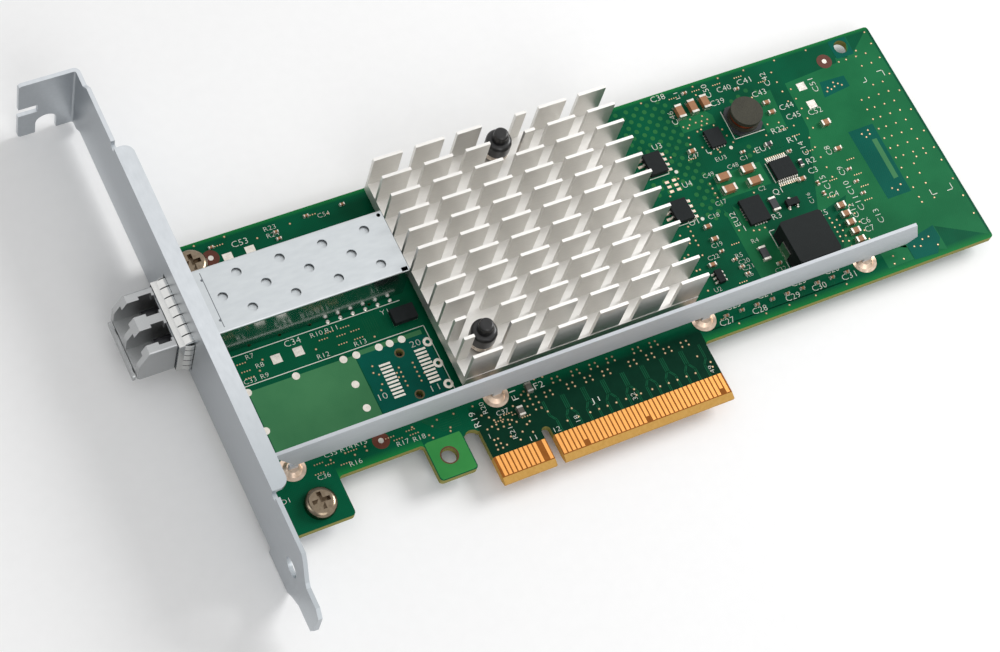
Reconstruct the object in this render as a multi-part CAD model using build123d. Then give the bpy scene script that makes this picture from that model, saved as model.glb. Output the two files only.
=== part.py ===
from build123d import *
import math
import os

# A low-height network interface card, lying flat with its component side up.
# X runs along the card from the slot bracket to the free end, Y from the contact tips to the
# top edge, Z out of the component side. The origin is on the component side, in the middle of the
# key slot, level with the contact tips. Millimetres.

# Circuit board
BOARD_T = 1.57
BOARD_LEFT = -56.2
BOARD_RIGHT = 110.6
BOARD_TOP = 68.9
BOARD_LOW = 13.05
FOOT_RIGHT = -41.8
FOOT_LOW = 4.8
HOOK_LEFT = -23.9
HOOK_RIGHT = -15.8
HOOK_LOW = 4.9
HOOK_HOLE_X = -20.05
HOOK_HOLE_Y = 9.4
HOOK_HOLE_R = 1.6
HOOK_SLOT_TOP = 12.7
TONGUE_LEFT = -12.4
TONGUE_RIGHT = 39.25
KEY_W = 1.9
KEY_TOP = 8.1
TIP_CHAMFER_Y = 1.3
TIP_CHAMFER_Z = 0.45
CORNER_R = 0.8
TOOL_HOLE_X = 102.3
TOOL_HOLE_Y = 66.1
TOOL_HOLE_R = 1.6

# Edge contacts
CONTACT_PITCH = 1.0
CONTACT_W = 0.7
CONTACT_T = 0.05
CONTACT_LOW = 1.5
CONTACT_TOP = 5.8
CONTACT_SHORT_LOW = 2.7
SHORT_SIDE_COUNT = 11
LONG_SIDE_COUNT = 38
FIRST_LEFT_OF_KEY = 1.5
FIRST_RIGHT_OF_KEY = 1.5
MISSING_TOP = (10,)
SHORT_TOP = (17, 31, 48)
SHORT_BOTTOM = (1,)

# Bracket: one folded steel sheet
SHEET_T = 0.86
BRACKET_OUT_X = -59.05
BRACKET_H = 120.02
BRACKET_BOTTOM_Y = -14.3
FACE_HIGH_Z = 16.2
BRACKET_EAR_GAP = 0.0
TAB_REACH = 11.6
TAB_LOW_Z = -4.0
TAB_HIGH_Z = 14.42
NECK_BELOW_TOP = 4.52
RELIEF_W = 1.5
RELIEF_DEPTH = 1.4
LIP_REACH = 3.5
LIP_LOW_Y = 9.1
LIP_BELOW_TOP = 20.4
LIP_CORNER_R = 2.0
BEND_IN_R = 0.4
NOTCH_X = -64.8
NOTCH_W = 4.4
NOTCH_DEPTH = 5.6
TAB_SLOT_LOW_Z = 3.6
TAB_SLOT_H = 2.5
TAB_SLOT_DEPTH = 4.0
HIP_TOP_Y = 5.2
HIP_LOW_Y = -3.3
HIP_LOW_Z = -4.5
TONGUE_TOP_Y = -7.8
TONGUE_LOW_Z = 0.2
TIP_LEFT_W = 2.9
TIP_LEFT_H = 1.1
TIP_RIGHT = 1.6
SHOULDER_Y = -3.9
SHOULDER_LOW_Y = -7.8
SHOULDER_LOW_Z = 11.2
SHOULDER_EASE = 0.8
TONGUE_W = 10.19
TONGUE_JOG = -0.3
JOG_TOP_Y = -5.0
JOG_LOW_Y = -7.5
FACE_HOLE_Y = -2.3
FACE_HOLE_Z = 5.8
FACE_HOLE_R = 2.1
EAR_W = 8.0
EAR_END = 4.2

# Screws that hold the board to the bracket's ears
SCREWS = ((-47.4, 9.1), (-50.6, 64.1))
SCREW_R = 1.5
SCREW_HEAD_R = 3.2
SCREW_HEAD_H = 2.0
SCREW_HOLE_CLEAR = 0.2
SCREW_TIP = 0.9
RECESS_W = 0.9
RECESS_L = 3.6
RECESS_DEPTH = 1.2

# Transceiver cage
CAGE_Y = 51.55
CAGE_W = 14.25
CAGE_LOW = 0.2
CAGE_TOP = 9.8
CAGE_FRONT_X = -61.6
CAGE_BACK_X = -13.9
CAGE_T = 0.25
VENT_R = 1.0
VENT_FIRST_X = -50.2
VENT_STEP_X = 9.0
VENT_ROW_Y = 4.0
VENT_COUNT = 4
REAR_NOTCH_L = 1.3
REAR_NOTCH_W = 1.0
REAR_HOLE_R = 0.4
REAR_HOLE_INSET = 0.8
TAB_W = 0.6
TAB_HOLE_R = 0.4
TAB_COUNT = 5
LEG_R = 0.45
LEG_TIP = 0.9
LEG_CLEAR = 0.1
LEG_FIRST_X = -50.0
LEG_STEP_X = 6.4
LEG_COUNT = 6
BAND_FRONT_X = -62.0
BAND_BACK_X = -60.8
FINGER_END_X = -57.9
FINGER_T = 0.2
FINGER_BULGE = 0.5
FINGER_PITCH = 2.13
SLIT_W = 0.25
WINDOW_CLEAR = 0.15

# Plugged-in optical transceiver
MODULE_W = 13.4
MODULE_H = 8.5
MODULE_LOW = 0.65
NOSE_LOW = 0.4
NOSE_FRONT_X = -69.7
NOSE_BACK_X = -62.2
NOSE_TOP_FRONT_X = -67.7
NOSE_BEVEL_Z = 5.6
NOSE_RISE = 0.85
NOSE_EDGE = 0.6
NOSE_EDGE_R = 0.5
MODULE_BACK_X = -19.0
MODULE_WALL = 0.9
COVER_T = 0.4
PORT_PITCH = 6.25
PORT_W = 4.9
PORT_FLOOR = 2.1
PORT_H = 5.9
PORT_DEPTH = 9.1
LATCH_GAP = 3.2
LATCH_WIDE = 4.5
LATCH_FRONT_L = 2.4
LATCH_MID_L = 2.6
LATCH_BACK_L = 1.1
LATCH_CUT = 0.5
BARREL_R = 1.45
BARREL_BORE_R = 0.63
BARREL_L = 4.4
BARREL_DROP = 0.4
BARREL_BORE_FLOOR = 0.5
MODULE_BOARD_T = 1.0
MODULE_BOARD_W = 9.2
MODULE_BOARD_END = 3.2
COVER_OVERHANG = 1.9
MODULE_BOARD_LIFT = 0.3
MODULE_BOARD_GAP = 1.0

# Bail under the transceiver's nose
BAIL_PIVOT_X = -64.2
BAIL_PIVOT_Z = 1.05
BAIL_PIN_R = 0.35
BAIL_CLEAR = 0.05
BAIL_EYE_R = 0.6
BAIL_ARM_W = 1.2
BAIL_ARM_T = 0.5
BAIL_ARM_OFFSET = 4.4
BAIL_GAP = 0.2
BAIL_BAR_T = 0.5
BAIL_BAR_H = 1.8
BAIL_POCKET = 0.2
BAIL_INSET = 0.3

# Host connector inside the cage
HOST_FRONT_X = -22.0
HOST_BACK_X = -17.0
HOST_W = 11.2
HOST_H = 5.4
HOST_CONTACT_COUNT = 10
HOST_PITCH = 0.8
HOST_CONTACT_W = 0.35
HOST_CONTACT_T = 0.2
HOST_CONTACT_REACH = 1.6
HOST_SLOT_WALL = 1.2
HOST_SLOT_CLEAR = 0.2
HOST_SLOT_ROOM = 0.35
HOST_ROOM = 0.6
PEG_X = -20.0
PEG_OFFSET = 4.75
PEG_R = 0.65
PEG_HOLE_R = 0.75
SECOND_PORT_STEP = 23.65

# Controller, pad and heat sink
CHIP_X = 5.0
CHIP_Y = 46.15
CHIP_W = 25.0
BALL_H = 0.45
BALL_R = 0.3
BALL_ROW_COUNT = 24
BALL_PITCH = 1.0
BALL_EDGE_COUNT = 2
BALL_CORE_COUNT = 8
SUBSTRATE_T = 0.95
LID_T = 0.7
LID_W = 21.0
PAD_T = 0.1
SINK_LEFT = -12.1
SINK_FIRST_Y = 67.15
SINK_ROW_COUNT = 12
SINK_ROW_PITCH = 4.18
SINK_COLUMN_COUNT = 6
SINK_COLUMN_PITCH = 9.2
BLADE_L = 6.3
BLADE_T = 0.65
BLADE_H = 9.1
SINK_BASE_T = 3.0
SINK_EDGE = 0.1

# Push pins that clamp the heat sink
PINS = ((-5.9, 27.3), (15.6, 65.0))
PIN_CLEAR_R = 4.4
PIN_SHAFT_R = 1.45
PIN_HOLE_R = 1.6
PIN_HEAD_R = 2.7
PIN_HEAD_LOW = 2.1
PIN_HEAD_H = 3.3
PIN_STUB_R = 1.55
PIN_STUB_H = 2.2
PIN_BARB_R = 1.95
PIN_BARB_H = 2.0
PIN_SPLIT = 0.6
SPRING_R = 2.35
SPRING_WIRE_R = 0.25
SPRING_TURN_COUNT = 3

# Stiffener bar on edge, soldered into four pads
BAR_FRONT_Y = 17.3
BAR_T = 0.7
BAR_LOW = 2.2
BAR_H = 8.1
BAR_LEFT = -54.0
BAR_RIGHT = 91.9
BAR_LEFT_CUT_X = 4.8
BAR_LEFT_CUT_Z = 7.0
BAR_RIGHT_CUT = 2.0
BAR_RIGHT_LEAN = 2.5
BAR_LEGS = (-49.4, -6.1, 41.4, 80.4)
BAR_LEG_W = 1.8
BAR_LEG_TIP = 0.7
BAR_HOLE_R = 1.15
BAR_PAD_R = 2.65
BAR_PAD_T = 0.06
BAR_FILLET_R = 1.9
BAR_FILLET_TOP_R = 1.2
BAR_FILLET_H = 0.85

# Chip parts: length along the part, width, height, and how much of each end is metal
CHIP_1206 = (3.2, 1.6, 1.3, 0.5)
FLAT_1206 = (3.2, 1.6, 0.6, 0.45)
CHIP_0805 = (2.0, 1.25, 1.0, 0.4)
CHIP_0603 = (1.6, 0.8, 0.7, 0.3)
CHIP_0402 = (1.0, 0.5, 0.45, 0.22)
CHIP_END_GROW = 0.03
ALONG_X = 0
ALONG_Y = 90

LARGE_CAPACITORS = (
    (59.6, 62.9, ALONG_Y), (62.8, 63.1, ALONG_Y), (65.9, 63.3, ALONG_Y),
    (60.9, 45.6, ALONG_X), (60.8, 42.6, ALONG_X), (66.9, 45.6, ALONG_X), (67.0, 42.5, ALONG_X),
)
COLUMN_X = 82.0
COLUMN_TOP_Y = 31.0
COLUMN_STEP = 2.15
COLUMN_COUNT = 5
MEDIUM_CAPACITORS = tuple(
    (COLUMN_X, COLUMN_TOP_Y - COLUMN_STEP * i, ALONG_X) for i in range(COLUMN_COUNT)
) + ((89.0, 50.0, ALONG_X),)
SMALL_CAPACITORS = (
    (88.5, 43.5, ALONG_X), (52.3, 36.4, ALONG_X), (52.3, 33.3, ALONG_X), (79.0, 58.9, ALONG_X),
    (79.0, 56.4, ALONG_X), (57.7, 53.6, ALONG_X), (49.0, 28.1, ALONG_X), (77.2, 39.6, ALONG_X),
)
COUPLING_FIRST_X = 46.3
COUPLING_STEP = 3.65
COUPLING_COUNT = 9
COUPLING_Y = 16.75
TINY_CAPACITORS = tuple(
    (COUPLING_FIRST_X + COUPLING_STEP * i, COUPLING_Y, ALONG_X) for i in range(COUPLING_COUNT)
) + (
    (88.4, 38.3, ALONG_X), (88.4, 35.1, ALONG_X), (88.4, 32.1, ALONG_X), (54.2, 27.6, ALONG_X),
    (54.8, 25.6, ALONG_X), (55.2, 23.8, ALONG_X), (52.4, 30.3, ALONG_X), (62.8, 23.6, ALONG_X),
    (80.2, 37.6, ALONG_Y), (80.2, 34.9, ALONG_Y), (78.0, 46.6, ALONG_X), (68.2, 49.8, ALONG_X),
    (63.0, 67.0, ALONG_X), (74.5, 64.2, ALONG_X), (-45.4, 66.7, ALONG_X), (-24.9, 66.9, ALONG_X),
    (-17.0, 66.9, ALONG_X), (-32.0, 65.6, ALONG_X), (-32.0, 64.0, ALONG_X),
)
RESISTORS_1206 = ((68.5, 36.3, ALONG_Y), (60.8, 26.7, ALONG_Y))
RESISTORS_0603 = ((78.9, 43.1, ALONG_Y), (74.4, 49.6, ALONG_X))
BEADS = ((0.6, 16.6, ALONG_Y), (-3.1, 12.6, ALONG_Y))
BACK_GRID_COUNT = 5
BACK_STEP = 3.2

# Gull-wing and no-lead packages
SO8_BODY = (3.9, 4.9, 1.45)
SO8_SPOTS = ((48.4, 53.3), (48.4, 41.4))
SO8_PITCH = 1.27
SO8_SIDE_COUNT = 4
SO8_LEAD = (0.42, 0.2, 1.05)
TSSOP_BODY = (4.4, 5.0, 0.95)
TSSOP_SPOT = (74.4, 43.2)
TSSOP_PITCH = 0.5
TSSOP_SIDE_COUNT = 10
TSSOP_LEAD = (0.22, 0.15, 1.0)
BODY_LIFT = 0.1
QFN_SMALL = (63.9, 54.8, 3.6, 4.2, 0.9)
QFN_LARGE = (63.6, 36.3, 4.9, 6.0, 0.95)
QFN_PAD = (0.3, 0.35, 0.5)
QFN_PAD_PITCH = 0.65
QFN_SIDE_COUNT = 5
SOT3 = (72.3, 35.3)
SOT6 = (49.1, 25.1)
SOT_BODY = (1.5, 2.9, 1.0)
SOT_LEAD = (0.4, 0.15, 0.65)
SOT_PITCH = 0.95
CRYSTAL_SPOT = (-16.0, 39.8)
CRYSTAL_BODY = (5.0, 3.2, 1.5)
CRYSTAL_PAD = (0.9, 1.0, 0.12)

# Wound drum inductor and moulded power choke
DRUM_X = 72.1
DRUM_Y = 57.0
DRUM_BASE_W = 7.2
DRUM_BASE_T = 0.6
DRUM_R = 3.5
DRUM_FOOT_T = 0.7
DRUM_TOP_T = 1.0
DRUM_TOP = 3.6
DRUM_NECK_R = 1.5
DRUM_COIL_R = 3.1
DRUM_COIL_COUNT = 5
CHOKE_X = 69.7
CHOKE_Y = 25.2
CHOKE_W = 10.0
CHOKE_TOP = 4.8
CHOKE_LIFT = 0.25
CHOKE_CORNER = 0.5
CHOKE_TERMINAL_W = 3.2
CHOKE_TERMINAL_T = 0.25
CHOKE_TERMINAL_REACH = 1.3

# Bare tinned lands of the parts that aren't fitted
LAND_T = 0.05
PORT_LANDS = (
    (-51.0, 35.2), (-40.95, 35.2), (-30.9, 35.2), (-28.15, 35.2), (-23.3, 35.2), (-20.95, 35.2),
    (-18.35, 35.2), (-30.9, 29.5), (-30.9, 24.15), (-50.95, 26.6),
)
PORT_LAND_R = 0.78
RING_LANDS = ((-13.75, 32.9), (-13.75, 28.0), (-13.75, 23.2))
RING_LAND_R = 1.0
RING_LAND_HOLE = 0.45
SQUARE_LANDS = ((-43.0, 39.9), (-38.35, 39.9), (-43.05, 63.6), (-38.3, 63.6), (88.7, 60.0), (88.7, 55.3))
SQUARE_LAND = (2.0, 1.9)
COLUMN_LANDS = ((-23.8, 27.8), (-15.95, 28.3))
COLUMN_LAND = (2.4, 0.45)

# Worked-out levels
BOARD_UNDER = -BOARD_T
FACE_IN_X = BRACKET_OUT_X + SHEET_T
EAR_LOW_Z = BOARD_UNDER - BRACKET_EAR_GAP - SHEET_T
BEND_OUT_R = BEND_IN_R + SHEET_T
BRACKET_TOP_Y = BRACKET_BOTTOM_Y + BRACKET_H
NECK_Y = BRACKET_TOP_Y - NECK_BELOW_TOP
LIP_HIGH_Y = BRACKET_TOP_Y - LIP_BELOW_TOP
TONGUE_HIGH_Z = TONGUE_LOW_Z + TONGUE_W
SUBSTRATE_TOP = BALL_H + SUBSTRATE_T
LID_TOP = SUBSTRATE_TOP + LID_T
SINK_LOW = LID_TOP + PAD_T
SINK_BASE_TOP = SINK_LOW + SINK_BASE_T
SINK_TOP = SINK_BASE_TOP + BLADE_H
SINK_RIGHT = SINK_LEFT + SINK_COLUMN_PITCH * (SINK_COLUMN_COUNT - 1) + BLADE_L
SINK_LAST_Y = SINK_FIRST_Y - SINK_ROW_PITCH * (SINK_ROW_COUNT - 1)
BAR_MID_Y = BAR_FRONT_Y + BAR_T / 2
MODULE_TOP = MODULE_LOW + MODULE_H
NOSE_TOP = MODULE_TOP + NOSE_RISE
BARREL_Z = PORT_FLOOR + PORT_H / 2 - BARREL_DROP
CAGE_HALF = CAGE_W / 2

BOTTOM = (Align.CENTER, Align.CENTER, Align.MIN)


def block(x0, x1, y0, y1, z0, z1):
    """A box between two corners."""
    return Pos((x0 + x1) / 2, (y0 + y1) / 2, (z0 + z1) / 2) * Box(x1 - x0, y1 - y0, z1 - z0)


def block_at(x, y, z, length, width, height, turn=0):
    """A box standing on height z, centred on x and y and turned about Z."""
    return Pos(x, y, z) * Rot(0, 0, turn) * Box(length, width, height, align=BOTTOM)


def rod(x, y, z0, z1, radius):
    """An upright round bar from z0 to z1."""
    return Pos(x, y, z0) * Cylinder(radius, z1 - z0, align=BOTTOM)


def rod_y(x, z, y0, y1, radius):
    """A round bar along Y."""
    return Pos(x, (y0 + y1) / 2, z) * Rot(90, 0, 0) * Cylinder(radius, y1 - y0)


def rod_x(y, z, x0, x1, radius):
    """A round bar along X."""
    return Pos((x0 + x1) / 2, y, z) * Rot(0, 90, 0) * Cylinder(radius, x1 - x0)


def prism_x(points, x0, x1):
    """A flat outline in Y and Z, as thick as x0 to x1."""
    wire = Polyline(*[(x0, y, z) for y, z in points], close=True)
    return extrude(make_face(wire), amount=x1 - x0, dir=(1, 0, 0))


def prism_y(points, y0, y1):
    """A flat outline in X and Z, as thick as y0 to y1."""
    wire = Polyline(*[(x, y0, z) for x, z in points], close=True)
    return extrude(make_face(wire), amount=y1 - y0, dir=(0, 1, 0))


def prism_z(points, z0, z1):
    """A flat outline in X and Y, as thick as z0 to z1."""
    wire = Polyline(*[(x, y, z0) for x, y in points], close=True)
    return extrude(make_face(wire), amount=z1 - z0, dir=(0, 0, 1))


def edges_at(shape, axis, **place):
    """The shape's edges along an axis whose middle lies at the given places."""
    found = []
    for edge in shape.edges().filter_by(axis):
        middle = edge.center()
        if all(abs(getattr(middle, name.upper()) - value) < 0.02 for name, value in place.items()):
            found.append(edge)
    return found


def save(name, *shapes):
    """Writes one node's solids to its own file."""
    solids = [solid for shape in shapes for solid in shape.solids()]
    whole = solids[0] if len(solids) == 1 else Compound(children=solids)
    export_step(whole, f"parts/{name}.step")


def contact_xs(missing=()):
    """The middle of each edge contact, numbered from the bracket end, with its number."""
    found = []
    for i in range(SHORT_SIDE_COUNT):
        found.append((i + 1, -FIRST_LEFT_OF_KEY - CONTACT_PITCH * (SHORT_SIDE_COUNT - 1 - i)))
    for i in range(LONG_SIDE_COUNT):
        found.append((SHORT_SIDE_COUNT + 1 + i, FIRST_RIGHT_OF_KEY + CONTACT_PITCH * i))
    return [(number, x) for number, x in found if number not in missing]


def cage_leg_places():
    """Where the cage's legs go through the board."""
    return [
        (LEG_FIRST_X + LEG_STEP_X * i, CAGE_Y + side * (CAGE_HALF - CAGE_T - LEG_R))
        for i in range(LEG_COUNT)
        for side in (-1, 1)
    ]


def cage_tab_places():
    """Where the tabs of the cage's side walls go through the board."""
    return [
        (LEG_FIRST_X + LEG_STEP_X * (i + 0.5), CAGE_Y + side * (CAGE_HALF - CAGE_T / 2))
        for i in range(TAB_COUNT)
        for side in (-1, 1)
    ]


def peg_places(step):
    """Where a host connector's two locating pegs go, step below the fitted port."""
    return [(PEG_X, CAGE_Y - step + side * PEG_OFFSET) for side in (-1, 1)]


def circuit_board():
    """The board: outline, key slot, hook, chamfered tongue and every hole."""
    body = block(BOARD_LEFT, BOARD_RIGHT, BOARD_LOW, BOARD_TOP, BOARD_UNDER, 0)
    body += block(BOARD_LEFT, FOOT_RIGHT, FOOT_LOW, BOARD_LOW, BOARD_UNDER, 0)
    body += block(HOOK_LEFT, HOOK_RIGHT, HOOK_LOW, BOARD_LOW, BOARD_UNDER, 0)
    body += block(HOOK_RIGHT, TONGUE_LEFT, HOOK_SLOT_TOP - CORNER_R, BOARD_LOW, BOARD_UNDER, 0)
    body += block(TONGUE_LEFT, TONGUE_RIGHT, 0, BOARD_LOW, BOARD_UNDER, 0)
    slot_r = (TONGUE_LEFT - HOOK_RIGHT) / 2
    slot_x = (TONGUE_LEFT + HOOK_RIGHT) / 2
    body -= block(HOOK_RIGHT, TONGUE_LEFT, HOOK_LOW - 1, HOOK_SLOT_TOP - slot_r, BOARD_UNDER, 0)
    body -= rod(slot_x, HOOK_SLOT_TOP - slot_r, BOARD_UNDER, 0, slot_r)
    key_r = KEY_W / 2
    body -= block(-key_r, key_r, -1, KEY_TOP - key_r, BOARD_UNDER, 0)
    body -= rod(0, KEY_TOP - key_r, BOARD_UNDER, 0, key_r)
    for top in (0, BOARD_UNDER):
        deep = top - math.copysign(TIP_CHAMFER_Z, top + BOARD_T / 2)
        wedge = prism_x([(-1, top), (TIP_CHAMFER_Y, top), (0, deep), (-1, deep)], TONGUE_LEFT - 1,
                        TONGUE_RIGHT + 1)
        body -= wedge
    corners = (
        (FOOT_RIGHT, FOOT_LOW), (FOOT_RIGHT, BOARD_LOW), (HOOK_LEFT, HOOK_LOW), (HOOK_LEFT, BOARD_LOW),
        (HOOK_RIGHT, HOOK_LOW), (TONGUE_RIGHT, BOARD_LOW), (BOARD_RIGHT, BOARD_LOW), (BOARD_RIGHT, BOARD_TOP),
    )
    rounded = [edge for x, y in corners for edge in edges_at(body, Axis.Z, x=x, y=y)]
    body = fillet(rounded, CORNER_R)
    holes = [(HOOK_HOLE_X, HOOK_HOLE_Y, HOOK_HOLE_R), (TOOL_HOLE_X, TOOL_HOLE_Y, TOOL_HOLE_R)]
    holes += [(x, y, SCREW_R + SCREW_HOLE_CLEAR) for x, y in SCREWS]
    holes += [(x, y, PIN_HOLE_R) for x, y in PINS]
    holes += [(x, BAR_MID_Y, BAR_HOLE_R) for x in BAR_LEGS]
    holes += [(x, y, LEG_R + LEG_CLEAR) for x, y in cage_leg_places()]
    holes += [(x, y, TAB_HOLE_R) for x, y in cage_tab_places()]
    holes += [(x, y, PEG_HOLE_R) for step in (0, SECOND_PORT_STEP) for x, y in peg_places(step)]
    holes += [(x, y, RING_LAND_HOLE) for x, y in RING_LANDS]
    for x, y, radius in holes:
        body -= rod(x, y, BOARD_UNDER, 0, radius)
    return body


def edge_contacts(side, missing, short):
    """The gold contacts of one side: +1 is the component side."""
    z0 = 0 if side > 0 else BOARD_UNDER - CONTACT_T
    made = []
    for number, x in contact_xs(missing):
        low = CONTACT_SHORT_LOW if number in short else CONTACT_LOW
        made.append(block(x - CONTACT_W / 2, x + CONTACT_W / 2, low, CONTACT_TOP, z0, z0 + CONTACT_T))
    return made


def bracket_face():
    """The upright face with its neck, hip and jogged tongue, cut from one strip."""
    jogged = BRACKET_OUT_X + TONGUE_JOG
    strip = prism_z(
        [
            (BRACKET_OUT_X, BRACKET_TOP_Y), (FACE_IN_X, BRACKET_TOP_Y), (FACE_IN_X, JOG_TOP_Y),
            (jogged + SHEET_T, JOG_LOW_Y), (jogged + SHEET_T, BRACKET_BOTTOM_Y),
            (jogged, BRACKET_BOTTOM_Y), (jogged, JOG_LOW_Y), (BRACKET_OUT_X, JOG_TOP_Y),
        ],
        HIP_LOW_Z, FACE_HIGH_Z,
    )
    step = FACE_HIGH_Z - TAB_HIGH_Z
    outline = prism_x(
        [
            (BRACKET_TOP_Y, TAB_LOW_Z), (NECK_Y + step, TAB_LOW_Z), (NECK_Y, EAR_LOW_Z),
            (HIP_TOP_Y, EAR_LOW_Z), (HIP_TOP_Y, HIP_LOW_Z), (HIP_LOW_Y, HIP_LOW_Z),
            (TONGUE_TOP_Y, TONGUE_LOW_Z), (BRACKET_BOTTOM_Y + TIP_LEFT_H, TONGUE_LOW_Z),
            (BRACKET_BOTTOM_Y, TONGUE_LOW_Z + TIP_LEFT_W), (BRACKET_BOTTOM_Y, TONGUE_HIGH_Z - TIP_RIGHT),
            (BRACKET_BOTTOM_Y + TIP_RIGHT, TONGUE_HIGH_Z), (SHOULDER_LOW_Y - SHOULDER_EASE, TONGUE_HIGH_Z),
            (SHOULDER_LOW_Y, SHOULDER_LOW_Z), (SHOULDER_Y, FACE_HIGH_Z),
            (NECK_Y - step, FACE_HIGH_Z), (NECK_Y, TAB_HIGH_Z),
            (BRACKET_TOP_Y, TAB_HIGH_Z),
        ],
        BRACKET_OUT_X - abs(TONGUE_JOG) - 1, FACE_IN_X + abs(TONGUE_JOG) + 1,
    )
    return strip & outline


def bracket():
    """One folded sheet: face, screw tab, stiffening lip and the two ears under the board."""
    body = bracket_face()
    tab_low_y = BRACKET_TOP_Y - SHEET_T
    tab_end_x = BRACKET_OUT_X - TAB_REACH
    body += block(tab_end_x, FACE_IN_X, tab_low_y, BRACKET_TOP_Y, TAB_LOW_Z, TAB_HIGH_Z)
    lip_end_x = BRACKET_OUT_X + LIP_REACH
    body += block(BRACKET_OUT_X, lip_end_x, LIP_LOW_Y, LIP_HIGH_Y, FACE_HIGH_Z - SHEET_T, FACE_HIGH_Z)
    for x, y in SCREWS:
        body += block(BRACKET_OUT_X, x + EAR_END, y - EAR_W / 2, y + EAR_W / 2, EAR_LOW_Z,
                      EAR_LOW_Z + SHEET_T)
    body = fillet(edges_at(body, Axis.Z, x=FACE_IN_X, y=BRACKET_TOP_Y), BEND_OUT_R)
    body = fillet(edges_at(body, Axis.Z, x=BRACKET_OUT_X, y=tab_low_y), BEND_IN_R)
    lip_mid = (LIP_LOW_Y + LIP_HIGH_Y) / 2
    body = fillet(edges_at(body, Axis.Y, x=FACE_IN_X, y=lip_mid, z=FACE_HIGH_Z - SHEET_T), BEND_IN_R)
    lip_ends = [
        edge for y in (LIP_LOW_Y, LIP_HIGH_Y) for edge in edges_at(body, Axis.Z, x=lip_end_x, y=y)
    ]
    body = fillet(lip_ends, LIP_CORNER_R)
    ear_ends = [
        edge
        for x, y in SCREWS
        for side in (-1, 1)
        for edge in edges_at(body, Axis.Z, x=x + EAR_END, y=y + side * EAR_W / 2)
    ]
    body = fillet(ear_ends, LIP_CORNER_R)
    for x, y in SCREWS:
        body = fillet(edges_at(body, Axis.Y, x=FACE_IN_X, y=y, z=EAR_LOW_Z + SHEET_T), BEND_IN_R)
    for y in (LIP_LOW_Y - RELIEF_W, LIP_HIGH_Y):
        body -= block(BRACKET_OUT_X - 1, lip_end_x, y, y + RELIEF_W, FACE_HIGH_Z - RELIEF_DEPTH,
                      FACE_HIGH_Z + 1)
    notch_r = NOTCH_W / 2
    notch_top = TAB_LOW_Z + NOTCH_DEPTH
    body -= block(NOTCH_X - notch_r, NOTCH_X + notch_r, tab_low_y - 1, BRACKET_TOP_Y + 1, TAB_LOW_Z - 1,
                  notch_top - notch_r)
    body -= rod_y(NOTCH_X, notch_top - notch_r, tab_low_y - 1, BRACKET_TOP_Y + 1, notch_r)
    body -= block(tab_end_x - 1, tab_end_x + TAB_SLOT_DEPTH, tab_low_y - 1, BRACKET_TOP_Y + 1,
                  TAB_SLOT_LOW_Z, TAB_SLOT_LOW_Z + TAB_SLOT_H)
    tab_corners = [
        edge for z in (TAB_LOW_Z, TAB_HIGH_Z) for edge in edges_at(body, Axis.Y, x=tab_end_x, z=z)
    ]
    body = fillet(tab_corners, CORNER_R)
    body -= rod_x(FACE_HOLE_Y, FACE_HOLE_Z, BRACKET_OUT_X - 1, FACE_IN_X + 1, FACE_HOLE_R)
    reach = FINGER_T + FINGER_BULGE + WINDOW_CLEAR
    body -= block(BRACKET_OUT_X - 1, FACE_IN_X + 1, CAGE_Y - CAGE_HALF - reach, CAGE_Y + CAGE_HALF + reach,
                  CAGE_LOW - reach, CAGE_TOP + reach)
    for x, y in SCREWS:
        body -= rod(x, y, EAR_LOW_Z, EAR_LOW_Z + SHEET_T, SCREW_R)
    return body


def bracket_screw(x, y):
    """A pan-head screw with a cross recess, down through the board into the ear."""
    head = rod(x, y, 0, SCREW_HEAD_H, SCREW_HEAD_R)
    head = fillet(head.edges().group_by(Axis.Z)[-1], SCREW_HEAD_H * 0.6)
    low = EAR_LOW_Z - SCREW_TIP
    shank = rod(x, y, low, 0, SCREW_R)
    shank = chamfer(shank.edges().group_by(Axis.Z)[0], SCREW_TIP * 0.5)
    recess_low = SCREW_HEAD_H - RECESS_DEPTH
    cross = block_at(x, y, recess_low, RECESS_L, RECESS_W, RECESS_DEPTH)
    cross += block_at(x, y, recess_low, RECESS_W, RECESS_L, RECESS_DEPTH)
    return head + shank - cross


def cage_cover():
    """The cage's cover: a thin folded box open at the front and below, with vent holes."""
    cover = block(CAGE_FRONT_X, CAGE_BACK_X, CAGE_Y - CAGE_HALF, CAGE_Y + CAGE_HALF, CAGE_LOW, CAGE_TOP)
    long_edges = [
        edge for side in (-1, 1) for edge in edges_at(cover, Axis.X, y=CAGE_Y + side * CAGE_HALF, z=CAGE_TOP)
    ]
    cover = fillet(long_edges, CAGE_T * 2)
    inner = CAGE_HALF - CAGE_T
    cover -= block(CAGE_FRONT_X - 1, CAGE_BACK_X - CAGE_T, CAGE_Y - inner, CAGE_Y + inner, CAGE_LOW - 1,
                   CAGE_TOP - CAGE_T)
    for i in range(VENT_COUNT):
        x = VENT_FIRST_X + VENT_STEP_X * i
        cover -= rod(x, CAGE_Y, CAGE_TOP - 1, CAGE_TOP + 1, VENT_R)
        for side in (-1, 1):
            cover -= rod(x + VENT_STEP_X / 2, CAGE_Y + side * VENT_ROW_Y, CAGE_TOP - 1, CAGE_TOP + 1, VENT_R)
    notch_x = CAGE_BACK_X - CAGE_T
    cover -= block(notch_x - REAR_NOTCH_L, notch_x, CAGE_Y - CAGE_HALF, CAGE_Y - CAGE_HALF + REAR_NOTCH_W,
                   CAGE_TOP - CAGE_T, CAGE_TOP)
    cover -= rod(CAGE_BACK_X - REAR_HOLE_INSET, CAGE_Y + inner - REAR_HOLE_INSET, CAGE_TOP - CAGE_T, CAGE_TOP,
                 REAR_HOLE_R)
    for x, y in cage_tab_places():
        cover += block_at(x, y, BOARD_UNDER - LEG_TIP, TAB_W, CAGE_T, BOARD_T + LEG_TIP + CAGE_LOW)
    return cover


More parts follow.
